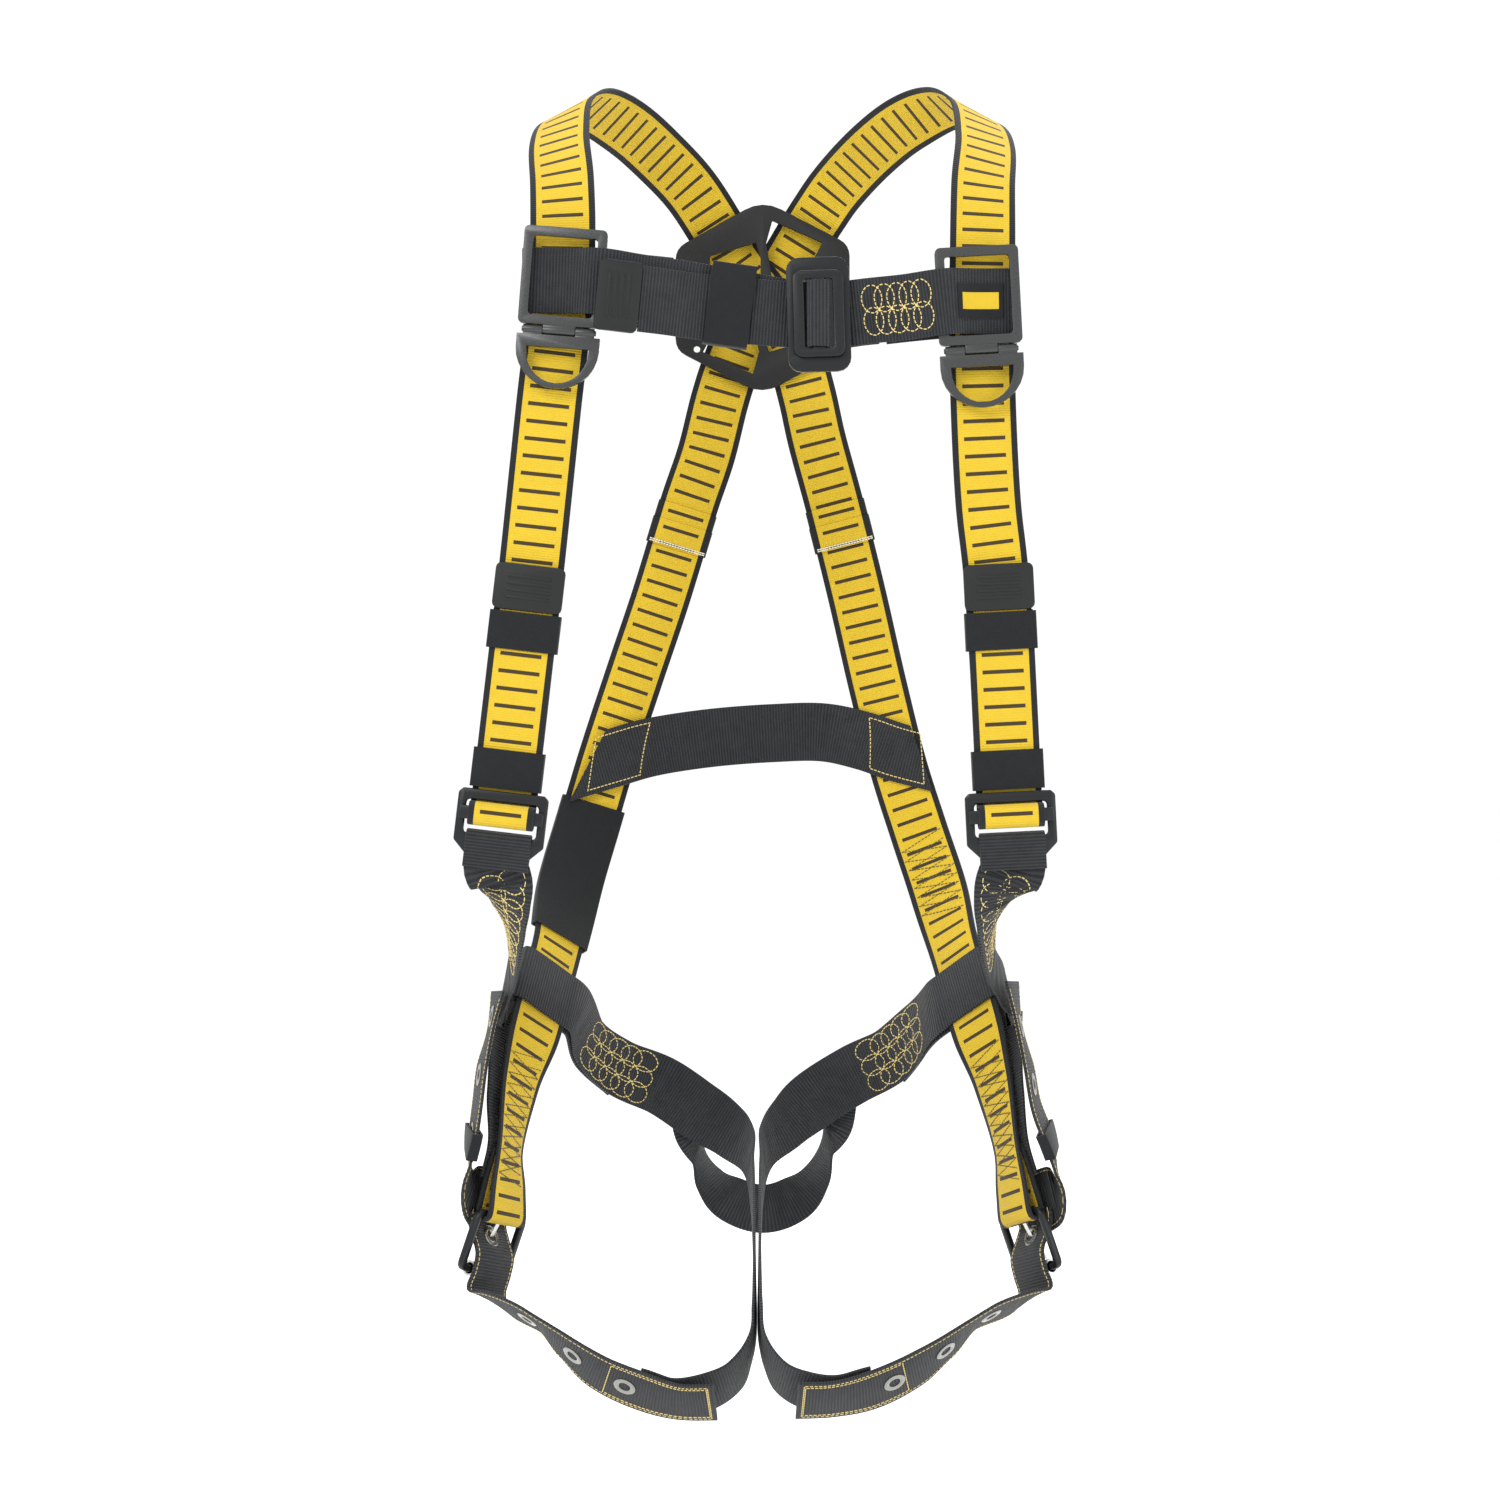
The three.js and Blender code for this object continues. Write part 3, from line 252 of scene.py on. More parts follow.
ROUTES = {
    "right_main": Route([
        *torso_turn(RIGHT_TORSO, 141),
        [-169.8, -105.2, 20, 0, -1, 0], [-164.5, -105.2, 66, 0, -1, 0], [-157.5, -105.2, 126, 0, -1, 0],
        [-152.8, -107.5, 168, 0, -1, 0], [-145.6, -108, 236, 0, -1, 0], [-138.5, -108, 300, 0, -1, 0],
        [-136, -107, 350, 0, -1, 0.02], [-137.5, -92, 393, -0.12, -0.93, 0.3],
        [-141.5, -62, 430, -0.3, -0.72, 0.6], [-138, -26, 458, -0.45, -0.25, 0.85],
        [-121, 12, 468, -0.45, 0.3, 0.82], [-98, 48, 462, -0.35, 0.72, 0.6],
        [-76.5, 80, 449, -0.2, 0.88, 0.4], [-53, 109, 429, -0.1, 0.96, 0.24], [-35, 125, 404.5, 0, 1, 0.1],
        [-21.5, 130.2, 381, 0, 1, 0], [-9.7, 133.5, 365, 0, 1, 0], [2.4, 133.9, 349, 0, 1, 0],
        [13.5, 133.5, 333, 0, 1, 0], [21.5, 130, 318, 0, 1, 0], [29.5, 126, 299, 0, 1, 0],
        [37, 124.4, 272, 0, 1, 0], [44, 122.4, 240, 0, 1, 0], [57.5, 122, 190, 0.05, 1, 0],
        [74.5, 122, 122, 0.1, 1, 0], [91, 121, 50, 0.16, 1, 0], [106.5, 118, -12, 0.2, 0.98, 0],
        [122, 111, -62, 0.24, 0.95, -0.1], [135, 93, -104, 0.3, 0.9, -0.25],
        *in_place(LEFT_CROSS, [[0, 0, 38, 0, 1, 0], [0, 0, 0, 0, 1, 0], [0, 0, -34, 0, 1, 0]]),
        [168, -6, -237, 0.86, 0.45, -0.2],
        *leg_turn(LEFT_LEG_UP, -0.15),
    ]),
    "left_main": Route([
        *torso_turn(LEFT_TORSO, 141),
        [168.3, -105.2, 20, 0, -1, 0], [165.9, -105.2, 66, 0, -1, 0], [161.5, -105.2, 126, 0, -1, 0],
        [156.6, -107.5, 168, 0, -1, 0], [153, -108, 236, 0, -1, 0], [152, -108, 300, 0, -1, 0],
        [152.6, -107, 345, 0, -1, 0.02], [154.5, -90, 392, 0.12, -0.93, 0.3],
        [158.5, -60, 429, 0.3, -0.72, 0.6], [154, -22, 458, 0.45, -0.25, 0.85],
        [134, 14, 470, 0.4, 0.3, 0.85], [108, 42, 464, 0.3, 0.7, 0.62], [83, 74, 450, 0.2, 0.85, 0.45],
        [58, 111, 429, 0.1, 0.95, 0.2], [47, 122.5, 415, 0, 1, 0.08], [36, 130.5, 399, 0, 1, 0],
        [19.5, 136.4, 372.5, 0, 1, 0], [2.4, 137.0, 348, 0, 1, 0], [-12, 136.4, 322.5, 0, 1, 0],
        [-22.5, 130.3, 296, 0, 1, 0], [-30.5, 124.8, 270, 0, 1, 0], [-41, 122.4, 228, 0, 1, 0],
        [-53.5, 122, 191, -0.05, 1, 0], [-76.2, 122, 117, -0.05, 1, 0], [-96, 121, 58, -0.1, 1, 0],
        [-117, 120, -6, -0.15, 1, 0], [-131.5, 112, -56, -0.2, 0.97, -0.1],
        [-144, 94, -102, -0.3, 0.9, -0.25],
        *in_place(RIGHT_CROSS, [[0, 0, 38, 0, 1, 0], [0, 0, 0, 0, 1, 0], [0, 0, -34, 0, 1, 0]]),
        [-173, -8, -238, -0.86, 0.45, -0.2],
        *leg_turn(RIGHT_LEG_UP, 0.24),
    ]),
    "right_hip": Route([
        *hip_start(RIGHT_TORSO),
        [-178, -101.4, -92, -0.3, -0.95, 0], [-176.8, -95, -103, -0.54, -0.84, 0],
        [-175.6, -85, -116, -0.75, -0.66, 0], [-174.8, -72, -131, -0.89, -0.45, 0],
        [-176, -53, -147, -0.96, -0.28, 0], [-180.4, -28, -165, -0.98, 0.1, 0],
        *in_place(RIGHT_CROSS, [[-34, 0.5, -27, -0.7, 0.7, 0], [-20, 10.4, -24, -0.2, 1, 0]]),
        *hip_end(RIGHT_LEG_UP, 0.24),
    ]),
    "left_hip": Route([
        *hip_start(LEFT_TORSO),
        [169, -101.6, -92, 0.3, -0.95, 0], [165.6, -95, -103, 0.54, -0.84, 0],
        [163, -85, -115, 0.75, -0.66, 0], [161.4, -72, -128, 0.89, -0.45, 0],
        [163.4, -53, -143, 0.96, -0.28, 0], [170, -28, -162, 0.98, 0.1, 0],
        *in_place(LEFT_CROSS, [[34, 0.5, -27, 0.7, 0.7, 0], [20, 10.4, -24, 0.2, 1, 0]]),
        *hip_end(LEFT_LEG_UP, -0.15),
    ]),
    "right_seat": Route([
        *seat_start(RIGHT_CROSS, 1, [
            [-127.6, 71.5, -222, -0.5, 0.75, -0.42], [-106, 91, -242, -0.3, 0.88, -0.3]]),
        [-74, 105, -257, 0.1, -0.98, 0.1], [-45.6, 111, -277, 0, -1, 0], [-23, 108, -292, -0.66, -0.75, 0],
        [-9, 96, -304, -0.95, -0.3, 0], [-5.6, 66, -324, -1, -0.06, 0], [-4.2, 10, -355, -1, 0, 0],
        [-3.8, -40, -384, -1, 0.05, 0], [-4.6, -64, -404, -1, 0.1, 0.05],
        [-7.6, -79, -419, -0.88, 0.3, 0.35], [-18.5, -89, -435, -0.45, 0.6, 0.65],
        [-36, -93, -444, -0.1, 0.7, 0.7], [-60, -91.2, -448.3, 0.02, 0.72, 0.69],
        [-84, -88, -442.6, 0.12, 0.74, 0.66],
    ]),
    "left_seat": Route([
        *seat_start(LEFT_CROSS, -1, [[117, 73, -212, 0.5, 0.75, -0.42], [99, 92, -233, 0.3, 0.88, -0.3]]),
        [72, 105, -248, -0.1, -0.98, 0.1], [43, 111, -267, 0, -1, 0], [21, 108, -286, 0.66, -0.75, 0],
        [5.4, 96, -301, 0.95, -0.3, 0], [1.3, 64, -322, 1, -0.06, 0], [-0.1, 10, -353, 1, 0, 0],
        [-0.5, -46, -386, 1, 0.05, 0], [0.2, -68, -402, 1, 0.1, 0.05], [3.2, -84, -418, 0.88, 0.3, 0.35],
        [14.5, -95.5, -434, 0.45, 0.6, 0.65], [32, -99, -442, 0.1, 0.7, 0.7],
        [52, -96.7, -444.8, -0.02, 0.72, 0.69], [76, -92.6, -440.5, -0.12, 0.74, 0.66],
    ]),
    "right_leg": Route([
        [-31, -100.5, -450, -0.05, -0.70, -0.71], [-57, -98.5, -450, 0, -0.70, -0.71],
        [-84, -95.2, -443, -0.12, -0.73, -0.67], [-113, -91.5, -431, -0.33, -0.68, -0.66],
        [-136, -86, -415, -0.5, -0.52, -0.68], [-158, -77, -399, -0.66, -0.28, -0.7],
        *leg_through(RIGHT_LEG),
        [-207, -45, -308, -0.93, 0.1, 0.05], [-206, -46, -292, -0.97, -0.1, 0.05],
        [-203.4, -46, -272, -0.97, -0.2, 0.05], [-200.5, -46, -250, -0.97, -0.22, 0.1],
        [-197.5, -44, -225, -0.97, -0.22, 0.15], [-191.8, -39, -199, -0.97, -0.15, 0.2],
        [-187, -35, -172, -0.95, -0.25, 0.2],
    ]),
    "left_leg": Route([
        [25, -106.5, -447.5, 0.05, -0.70, -0.71], [50, -104.6, -446.8, 0, -0.70, -0.71],
        [77, -100.6, -441.5, 0.12, -0.73, -0.67], [107, -94.5, -429, 0.33, -0.68, -0.66],
        [131, -87, -414, 0.5, -0.52, -0.68], [155, -77, -397, 0.66, -0.28, -0.7],
        *leg_through(LEFT_LEG),
        [211.5, -47, -312, 0.93, 0.1, 0.05], [209.5, -48, -297, 0.97, -0.1, 0.05],
        [203.5, -48, -274, 0.97, -0.2, 0.05], [195.5, -48, -252, 0.97, -0.22, 0.1],
        [190.5, -46, -224, 0.97, -0.22, 0.1], [184, -40, -195, 0.97, -0.15, 0.2],
        [179.5, -36, -165, 0.94, -0.25, 0.25],
    ]),
    "lumbar": Route([
        [-152, 105.5, -18, 0.14, -1, 0], [-134, 109, -12.5, 0.15, -1, 0], [-112, 113.2, -6, 0.15, -1, 0],
        [-84, 119, 2, 0.12, -1, 0], [-40, 125.5, 9, 0, -1, 0], [10, 127, 13, 0, -1, 0],
        [50, 125, 13.5, 0, -1, 0], [80, 119.8, 7, -0.15, -1, 0], [105, 114.7, -1.5, -0.2, -1, 0],
        [126, 110, -7, -0.2, -1, 0], [142, 106.4, -11, -0.2, -1, 0],
    ]),
    "sub_pelvic": Route([
        [-50, 116.5, -272, -0.05, 1, 0.05], [-49, 121, -288, -0.35, 0.93, -0.05],
        [-48, 133, -311, -0.98, 0.2, -0.05], [-39, 135, -333, -0.8, 0.5, -0.3],
        [-21, 132, -348, -0.3, 0.85, -0.4], [3, 131, -355, 0, 0.9, -0.4], [26, 132, -348, 0.3, 0.85, -0.4],
        [44, 135, -331, 0.8, 0.5, -0.3], [53.5, 133, -304, 0.97, 0.2, -0.1],
        [55, 121, -283, 0.35, 0.93, -0.05], [56, 116, -266, 0.05, 1, 0.05],
    ], 38),
    "right_chest": Route(keeping_width([
        [-62, -112.4, 315], [-85, -111, 317.5], [-108, -105.6, 320], [-122, -104.4, 321], [-155, -104.5, 322],
        [-161.4, -105.6, 322.3], [-163.2, -108.4, 322.4], [-161.4, -111.4, 322.3], [-155, -112.7, 322],
        [-140, -113.2, 321.5], [-127, -116.2, 321], [-116, -121.4, 320.2], [-106, -122.4, 319.5],
        [-84, -118.2, 316.5],
        [-45, -115.4, 311], [0, -114.2, 303], [30, -114.2, 298], [42.5, -116.4, 297.2],
        [46.3, -121.5, 297], [46.3, -127, 297], [43.9, -129.8, 297], [39.5, -130.3, 297],
        [35.1, -129.8, 297], [32.7, -127, 297],
        [32.4, -121.8, 297], [28.5, -117.4, 297.3], [16, -117.0, 298], [-20, -117.8, 300.8],
        [-45, -119.6, 303], [-62, -123.2, 305], [-82, -126.2, 307],
    ], [0, 0, 1])),
    "left_chest": Route(keeping_width([
        [84, -108.4, 301], [108, -105.4, 304], [136, -104.4, 306.5], [168, -104.6, 307.6],
        [174.8, -105.6, 307.7], [176.6, -108.4, 307.7], [174.8, -111.4, 307.7], [168, -112.7, 307.6],
        [155, -113.2, 307.4], [142, -116.2, 307], [131, -121.4, 306.4], [121, -122.4, 305.4],
        [99, -118.6, 302.6], [76, -116.6, 300.5],
        [63, -116.2, 299], [57.5, -115.2, 298.6], [53.2, -113.0, 298.4], [52.0, -109.8, 298.4],
        [54.2, -106.8, 298.6],
        [62, -106.2, 299.4], [70, -109.8, 300], [80, -112.7, 300.6],
    ], [0, 0, 1])),
}


# ------------------------------------------------------------------ shaping helpers
def long_edges(bm, length):
    """The edges that run the whole length of a flat blank."""
    return [e for e in bm.edges if abs(e.verts[0].co.y - e.verts[1].co.y) > length / 2]


def strap_blank(width, length, thick, step=2.6, round_off=0.6):
    """A flat strap of that length, its long edges rounded, ready to be laid along a route."""
    bm = bmesh.new()
    bmesh.ops.create_cube(bm, size=1.0)
    bmesh.ops.scale(bm, vec=(width, length, thick), verts=bm.verts)
    bmesh.ops.translate(bm, vec=(0, length / 2, 0), verts=bm.verts)
    bmesh.ops.bevel(
        bm, geom=long_edges(bm, length), offset=min(round_off, thick * 0.45), offset_type="OFFSET",
        segments=2, profile=0.5, affect="EDGES", material=-1)
    cuts = max(1, round(length / step))
    bmesh.ops.subdivide_edges(bm, edges=long_edges(bm, length), cuts=cuts, use_grid_fill=True)
    return bm


def tube_blank(width, length, inner, wall, step=3.0):
    """An open flat tube with rounded long edges."""
    bm = strap_blank(width + 2 * wall, length, inner + 2 * wall, step, 1.6)
    ends = [f for f in bm.faces if abs(f.normal.y) > 0.9]
    bmesh.ops.delete(bm, geom=ends, context="FACES")
    bmesh.ops.recalc_face_normals(bm, faces=bm.faces)
    bmesh.ops.solidify(bm, geom=bm.faces[:], thickness=wall)
    bmesh.ops.recalc_face_normals(bm, faces=bm.faces)
    return bm


def mark_cloth(bm):
    """Keeps the flat strap's own measure as the piece's UV map."""
    uv = bm.loops.layers.uv.new("Cloth")
    for f in bm.faces:
        for loop in f.loops:
            loop[uv].uv = (loop.vert.co.x * MM, loop.vert.co.y * MM)


def lay(bm, route, start, lift=0.0):
    """Bends flat work along a route, in metres, after noting its cloth measure."""
    mark_cloth(bm)
    known = {}
    for v in bm.verts:
        key = round(v.co.y, 3)
        if key not in known:
            known[key] = route.at(start + v.co.y)
        p, T, W, N = known[key]
        v.co = (p + W * v.co.x + N * (v.co.z + lift)) * MM


def shown(bm, name, look, body=ROOT, stands_for=(), sharp=40):
    """Makes the finished object of a mesh, riding its body; stands_for names the nodes it replaces."""
    mesh = bpy.data.meshes.new(name)
    bm.to_mesh(mesh)
    bm.free()
    mesh.materials.append(look)
    mesh.polygons.foreach_set("use_smooth", [True] * len(mesh.polygons))
    mesh.set_sharp_from_angle(angle=math.radians(sharp))
    piece = bpy.data.objects.new(name, mesh)
    bpy.context.scene.collection.objects.link(piece)
    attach(piece, body)
    if stands_for:
        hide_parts(*stands_for)
    return piece


# ------------------------------------------------------------------ needlework
ON_FACE = 1.05  # stitches lie just proud of a strap 2 mm thick


def stitch(bm, points, height, pitch=3.0, run=2.1, thread=0.42, closed=False):
    """Lays single stitches along a line on the flat strap."""
    line = [Vector((x, y, height)) for x, y in points]
    if closed:
        line.append(line[0])
    gone = pitch / 2
    for a, b in zip(line, line[1:]):
        span = (b - a).length
        if span < 1e-6:
            continue
        way = (b - a) / span
        turn = Matrix.Rotation(math.atan2(way.y, way.x), 4, "Z") @ Matrix.Rotation(math.pi / 2, 4, "Y")
        while gone < span:
            bmesh.ops.create_cone(
                bm, cap_ends=True, segments=5, radius1=thread, radius2=thread * 0.9, depth=run,
                matrix=Matrix.Translation(a + way * gone) @ turn)
            gone += pitch
        gone -= span


def box_stitch(bm, x0, y0, x1, y1, height, **more):
    """A line of stitches round a rectangle."""
    stitch(bm, [(x0, y0), (x1, y0), (x1, y1), (x0, y1)], height, closed=True, **more)


def looped_stitch(bm, width, y0, y1, height, across=2, loops=5, **more):
    """Interlocking ovals in rows, as a bar-tacking machine sews them."""
    pitch = (y1 - y0) / (loops + 0.6)
    wide, tall = width / (across + 0.5) * 0.66, pitch * 0.8
    turns = [k * math.pi / 12 for k in range(24)]
    for row in range(across):
        cx = (row - (across - 1) / 2) * width / (across + 0.35)
        for i in range(loops):
            cy = y0 + pitch * (i + 0.8)
            oval = [(cx + wide * math.cos(a), cy + tall * math.sin(a)) for a in turns]
            stitch(bm, oval, height, closed=True, **more)


def zigzag_stitch(bm, width, y0, y1, height, turns=6, **more):
    """A line of stitches from edge to edge and back."""
    points = []
    for i in range(turns + 1):
        points.append(((-1) ** i * width / 2, y0 + (y1 - y0) * i / turns))
    stitch(bm, points, height, **more)


def sewn(name, bm, key, near, look="thread"):
    """Lays flat needlework on a strap, measured from the point of its route nearest a spot."""
    route = ROUTES[key]
    lay(bm, route, route.near(*near))
    shown(bm, name, look_of(look))


# ------------------------------------------------------------------ shared shader groups
VALUE, VECTOR = "NodeSocketFloat", "NodeSocketVector"


def group(name, inputs, outputs):
    """A new shader node group with its named sockets."""
    tree = bpy.data.node_groups.new(name, "ShaderNodeTree")
    for label, kind, value in inputs:
        socket = tree.interface.new_socket(label, in_out="INPUT", socket_type=kind)
        if value is not None:
            socket.default_value = value
    for label in outputs:
        tree.interface.new_socket(label, in_out="OUTPUT", socket_type=VALUE)
    return tree, tree.nodes.new("NodeGroupInput"), tree.nodes.new("NodeGroupOutput")


def math_node(tree, kind, a, b=None, clamp=False):
    """One step of arithmetic on sockets or plain numbers."""
    node = tree.nodes.new("ShaderNodeMath")
    node.operation = kind
    node.use_clamp = clamp
    for i, v in enumerate((a, b)):
        if v is None:
            continue
        if isinstance(v, (int, float)):
            node.inputs[i].default_value = v
        else:
            tree.links.new(v, node.inputs[i])
    return node.outputs[0]


def noise_node(tree, place_at, scale, detail=2.0):
    """Noise about a half, by the given coordinates."""
    node = tree.nodes.new("ShaderNodeTexNoise")
    node.inputs["Scale"].default_value = scale
    node.inputs["Detail"].default_value = detail
    tree.links.new(place_at, node.inputs["Vector"])
    return math_node(tree, "SUBTRACT", node.outputs["Fac"], 0.5)


def woven_group():
    """The cross rib relief and yarn grain of a woven strap, by its cloth measure. Its Shade output is random
    yarn tone plus a painted highlight and painted shade that follow the rib wave.
    """
    yarn_pitch = 0.0011
    tree, i, o = group("Woven strap", [
        ("Cloth", VECTOR, None), ("Rib Pitch", VALUE, 0.0019), ("Grain", VALUE, 0.5),
        ("Painted Rib Shade", VALUE, 0.13),
    ], ["Height", "Shade"])
    parts = tree.nodes.new("ShaderNodeSeparateXYZ")
    tree.links.new(i.outputs["Cloth"], parts.inputs[0])
    turns = math_node(tree, "DIVIDE", parts.outputs["Y"], i.outputs["Rib Pitch"])
    wave = math_node(tree, "SINE", math_node(tree, "MULTIPLY", turns, 2 * math.pi))
    yarn_turns = math_node(tree, "MULTIPLY", parts.outputs["X"], 2 * math.pi / yarn_pitch)
    yarn = math_node(tree, "MULTIPLY", math_node(tree, "SINE", yarn_turns), 0.16)
    height = math_node(tree, "ADD", math_node(tree, "MULTIPLY", wave, 0.5), yarn)
    tree.links.new(height, o.inputs["Height"])
    fine = math_node(tree, "MULTIPLY", noise_node(tree, i.outputs["Cloth"], 140, 4), i.outputs["Grain"])
    wide = math_node(tree, "MULTIPLY", noise_node(tree, i.outputs["Cloth"], 28), 0.5)
    # painted highlight on each rib crest and painted shade in each hollow, by the same wave as the relief
    painted_rib_shade = math_node(tree, "MULTIPLY", wave, i.outputs["Painted Rib Shade"])
    shade = math_node(tree, "ADD", math_node(tree, "ADD", fine, wide), painted_rib_shade)
    tree.links.new(math_node(tree, "ADD", shade, 0.5, clamp=True), o.inputs["Shade"])
    return tree


def rung_group():
    """Masks of the dark rungs across a strap and of its dark selvedges."""
    crispness = 4000

    def mask(distance):
        return math_node(tree, "ADD", math_node(tree, "MULTIPLY", distance, crispness), 0.5, clamp=True)

    tree, i, o = group("Rungs and selvedge", [
        ("Cloth", VECTOR, None), ("Rung Pitch", VALUE, 0.012), ("Rung Width", VALUE, 0.0027),
        ("Rung Reach", VALUE, 0.0142), ("Selvedge", VALUE, 0.0182),
    ], ["Rung", "Edge"])
    parts = tree.nodes.new("ShaderNodeSeparateXYZ")
    tree.links.new(i.outputs["Cloth"], parts.inputs[0])
    side = math_node(tree, "ABSOLUTE", parts.outputs["X"])
    phase = math_node(tree, "FRACT", math_node(tree, "DIVIDE", parts.outputs["Y"], i.outputs["Rung Pitch"]))
    share = math_node(tree, "ABSOLUTE", math_node(tree, "SUBTRACT", phase, 0.5))
    off = math_node(tree, "MULTIPLY", share, i.outputs["Rung Pitch"])
    half = math_node(tree, "MULTIPLY", i.outputs["Rung Width"], 0.5)
    near = math_node(tree, "SUBTRACT", half, off)
    inside = math_node(tree, "SUBTRACT", i.outputs["Rung Reach"], side)
    tree.links.new(mask(math_node(tree, "MINIMUM", near, inside)), o.inputs["Rung"])
    tree.links.new(mask(math_node(tree, "SUBTRACT", side, i.outputs["Selvedge"])), o.inputs["Edge"])
    return tree


def fine_grain_group():
    """Slight unevenness of painted, plated and moulded surfaces."""
    tree, i, o = group("Fine grain", [
        ("Place", VECTOR, None), ("Scale", VALUE, 900.0), ("Low", VALUE, 0.3), ("High", VALUE, 0.5),
    ], ["Roughness", "Height"])
    noise = tree.nodes.new("ShaderNodeTexNoise")
    noise.inputs["Detail"].default_value = 3
    tree.links.new(i.outputs["Place"], noise.inputs["Vector"])
    tree.links.new(i.outputs["Scale"], noise.inputs["Scale"])
    spread = tree.nodes.new("ShaderNodeMapRange")
    spread.inputs["From Min"].default_value = 0.3
    spread.inputs["From Max"].default_value = 0.7
    tree.links.new(noise.outputs["Fac"], spread.inputs["Value"])
    tree.links.new(i.outputs["Low"], spread.inputs["To Min"])
    tree.links.new(i.outputs["High"], spread.inputs["To Max"])
    tree.links.new(spread.outputs["Result"], o.inputs["Roughness"])
    tree.links.new(noise.outputs["Fac"], o.inputs["Height"])
    return tree


GROUPS = {}


def shared(tree, build):
    """One of the shared groups, placed in a material."""
    if build.__name__ not in GROUPS:
        GROUPS[build.__name__] = build()
    node = tree.nodes.new("ShaderNodeGroup")
    node.node_tree = GROUPS[build.__name__]
    return node


# ------------------------------------------------------------------ materials
def blank_look(name, **sockets):
    """A new material with the named sockets of its shader set."""
    look = bpy.data.materials.new(name)
    look.use_nodes = True
    shader = look.node_tree.nodes["Principled BSDF"]
    for label, value in sockets.items():
        shader.inputs[label.replace("_", " ")].default_value = value
    return look, look.node_tree, shader


def bump(tree, shader, height, distance):
    """Gives the surface relief of a height, in metres."""
    node = tree.nodes.new("ShaderNodeBump")
    node.inputs["Distance"].default_value = distance
    node.inputs["Strength"].default_value = 1.0
    tree.links.new(height, node.inputs["Height"])
    tree.links.new(node.outputs["Normal"], shader.inputs["Normal"])


def mixed(tree, factor, a, b):
    """Colour a where factor is none, colour b where it is full."""
    node = tree.nodes.new("ShaderNodeMix")
    node.data_type = "RGBA"
    for socket, value in ((node.inputs[0], factor), (node.inputs[6], a), (node.inputs[7], b)):
        if isinstance(value, tuple):
            socket.default_value = value
        else:
            tree.links.new(value, socket)
    return node.outputs[2]


def rgb(colour, gain=1.0):
    """A colour made lighter or darker, with its alpha."""
    return (colour[0] * gain, colour[1] * gain, colour[2] * gain, 1.0)


RUNG_BROWN = (0.045, 0.03, 0.014, 1)
PALE_THREAD = (0.72, 0.68, 0.52, 1)
DARK_THREAD = (0.09, 0.07, 0.03, 1)
GROMMET_PLATE = (0.3, 0.3, 0.28)


def cloth_look(name, dark, light, pitch, roughness=0.85, depth=0.00025, rungs=None, edge=None, painted_rib_shade=0.13):
    """Woven cloth; rungs and edge are the colours of its rungs and selvedges. Dark and light are a shaded and
    a lit tone of the cloth, mixed by random yarn tone and by painted rib shading.
    """
    look, tree, shader = blank_look(
        name, Roughness=roughness, Specular_IOR_Level=0.25, Sheen_Weight=0.12, Sheen_Roughness=0.5)
    uv = tree.nodes.new("ShaderNodeUVMap")
    uv.uv_map = "Cloth"
    weave = shared(tree, woven_group)
    weave.inputs["Rib Pitch"].default_value = pitch
    weave.inputs["Painted Rib Shade"].default_value = painted_rib_shade
    tree.links.new(uv.outputs[0], weave.inputs["Cloth"])
    # painted light and shade along the rib wave, mixed with random yarn tone
    colour = mixed(tree, weave.outputs["Shade"], dark, light)
    if rungs:
        marks = shared(tree, rung_group)
        tree.links.new(uv.outputs[0], marks.inputs["Cloth"])
        colour = mixed(tree, marks.outputs["Rung"], colour, rungs)
        colour = mixed(tree, marks.outputs["Edge"], colour, edge)
    tree.links.new(colour, shader.inputs["Base Color"])
    bump(tree, shader, weave.outputs["Height"], depth)
    return look


def hard_look(name, colour, low, high, metallic, scale=900.0, depth=0.00004, shine=0.5):
    """Painted steel, plated steel or moulded plastic."""
    look, tree, shader = blank_look(name, Base_Color=rgb(colour), Metallic=metallic, Specular_IOR_Level=shine)
    place_at = tree.nodes.new("ShaderNodeTexCoord")
    grain = shared(tree, fine_grain_group)
    grain.inputs["Scale"].default_value = scale
    grain.inputs["Low"].default_value = low
    grain.inputs["High"].default_value = high
    tree.links.new(place_at.outputs["Object"], grain.inputs["Place"])
    tree.links.new(grain.outputs["Roughness"], shader.inputs["Roughness"])
    bump(tree, shader, grain.outputs["Height"], depth)
    return look


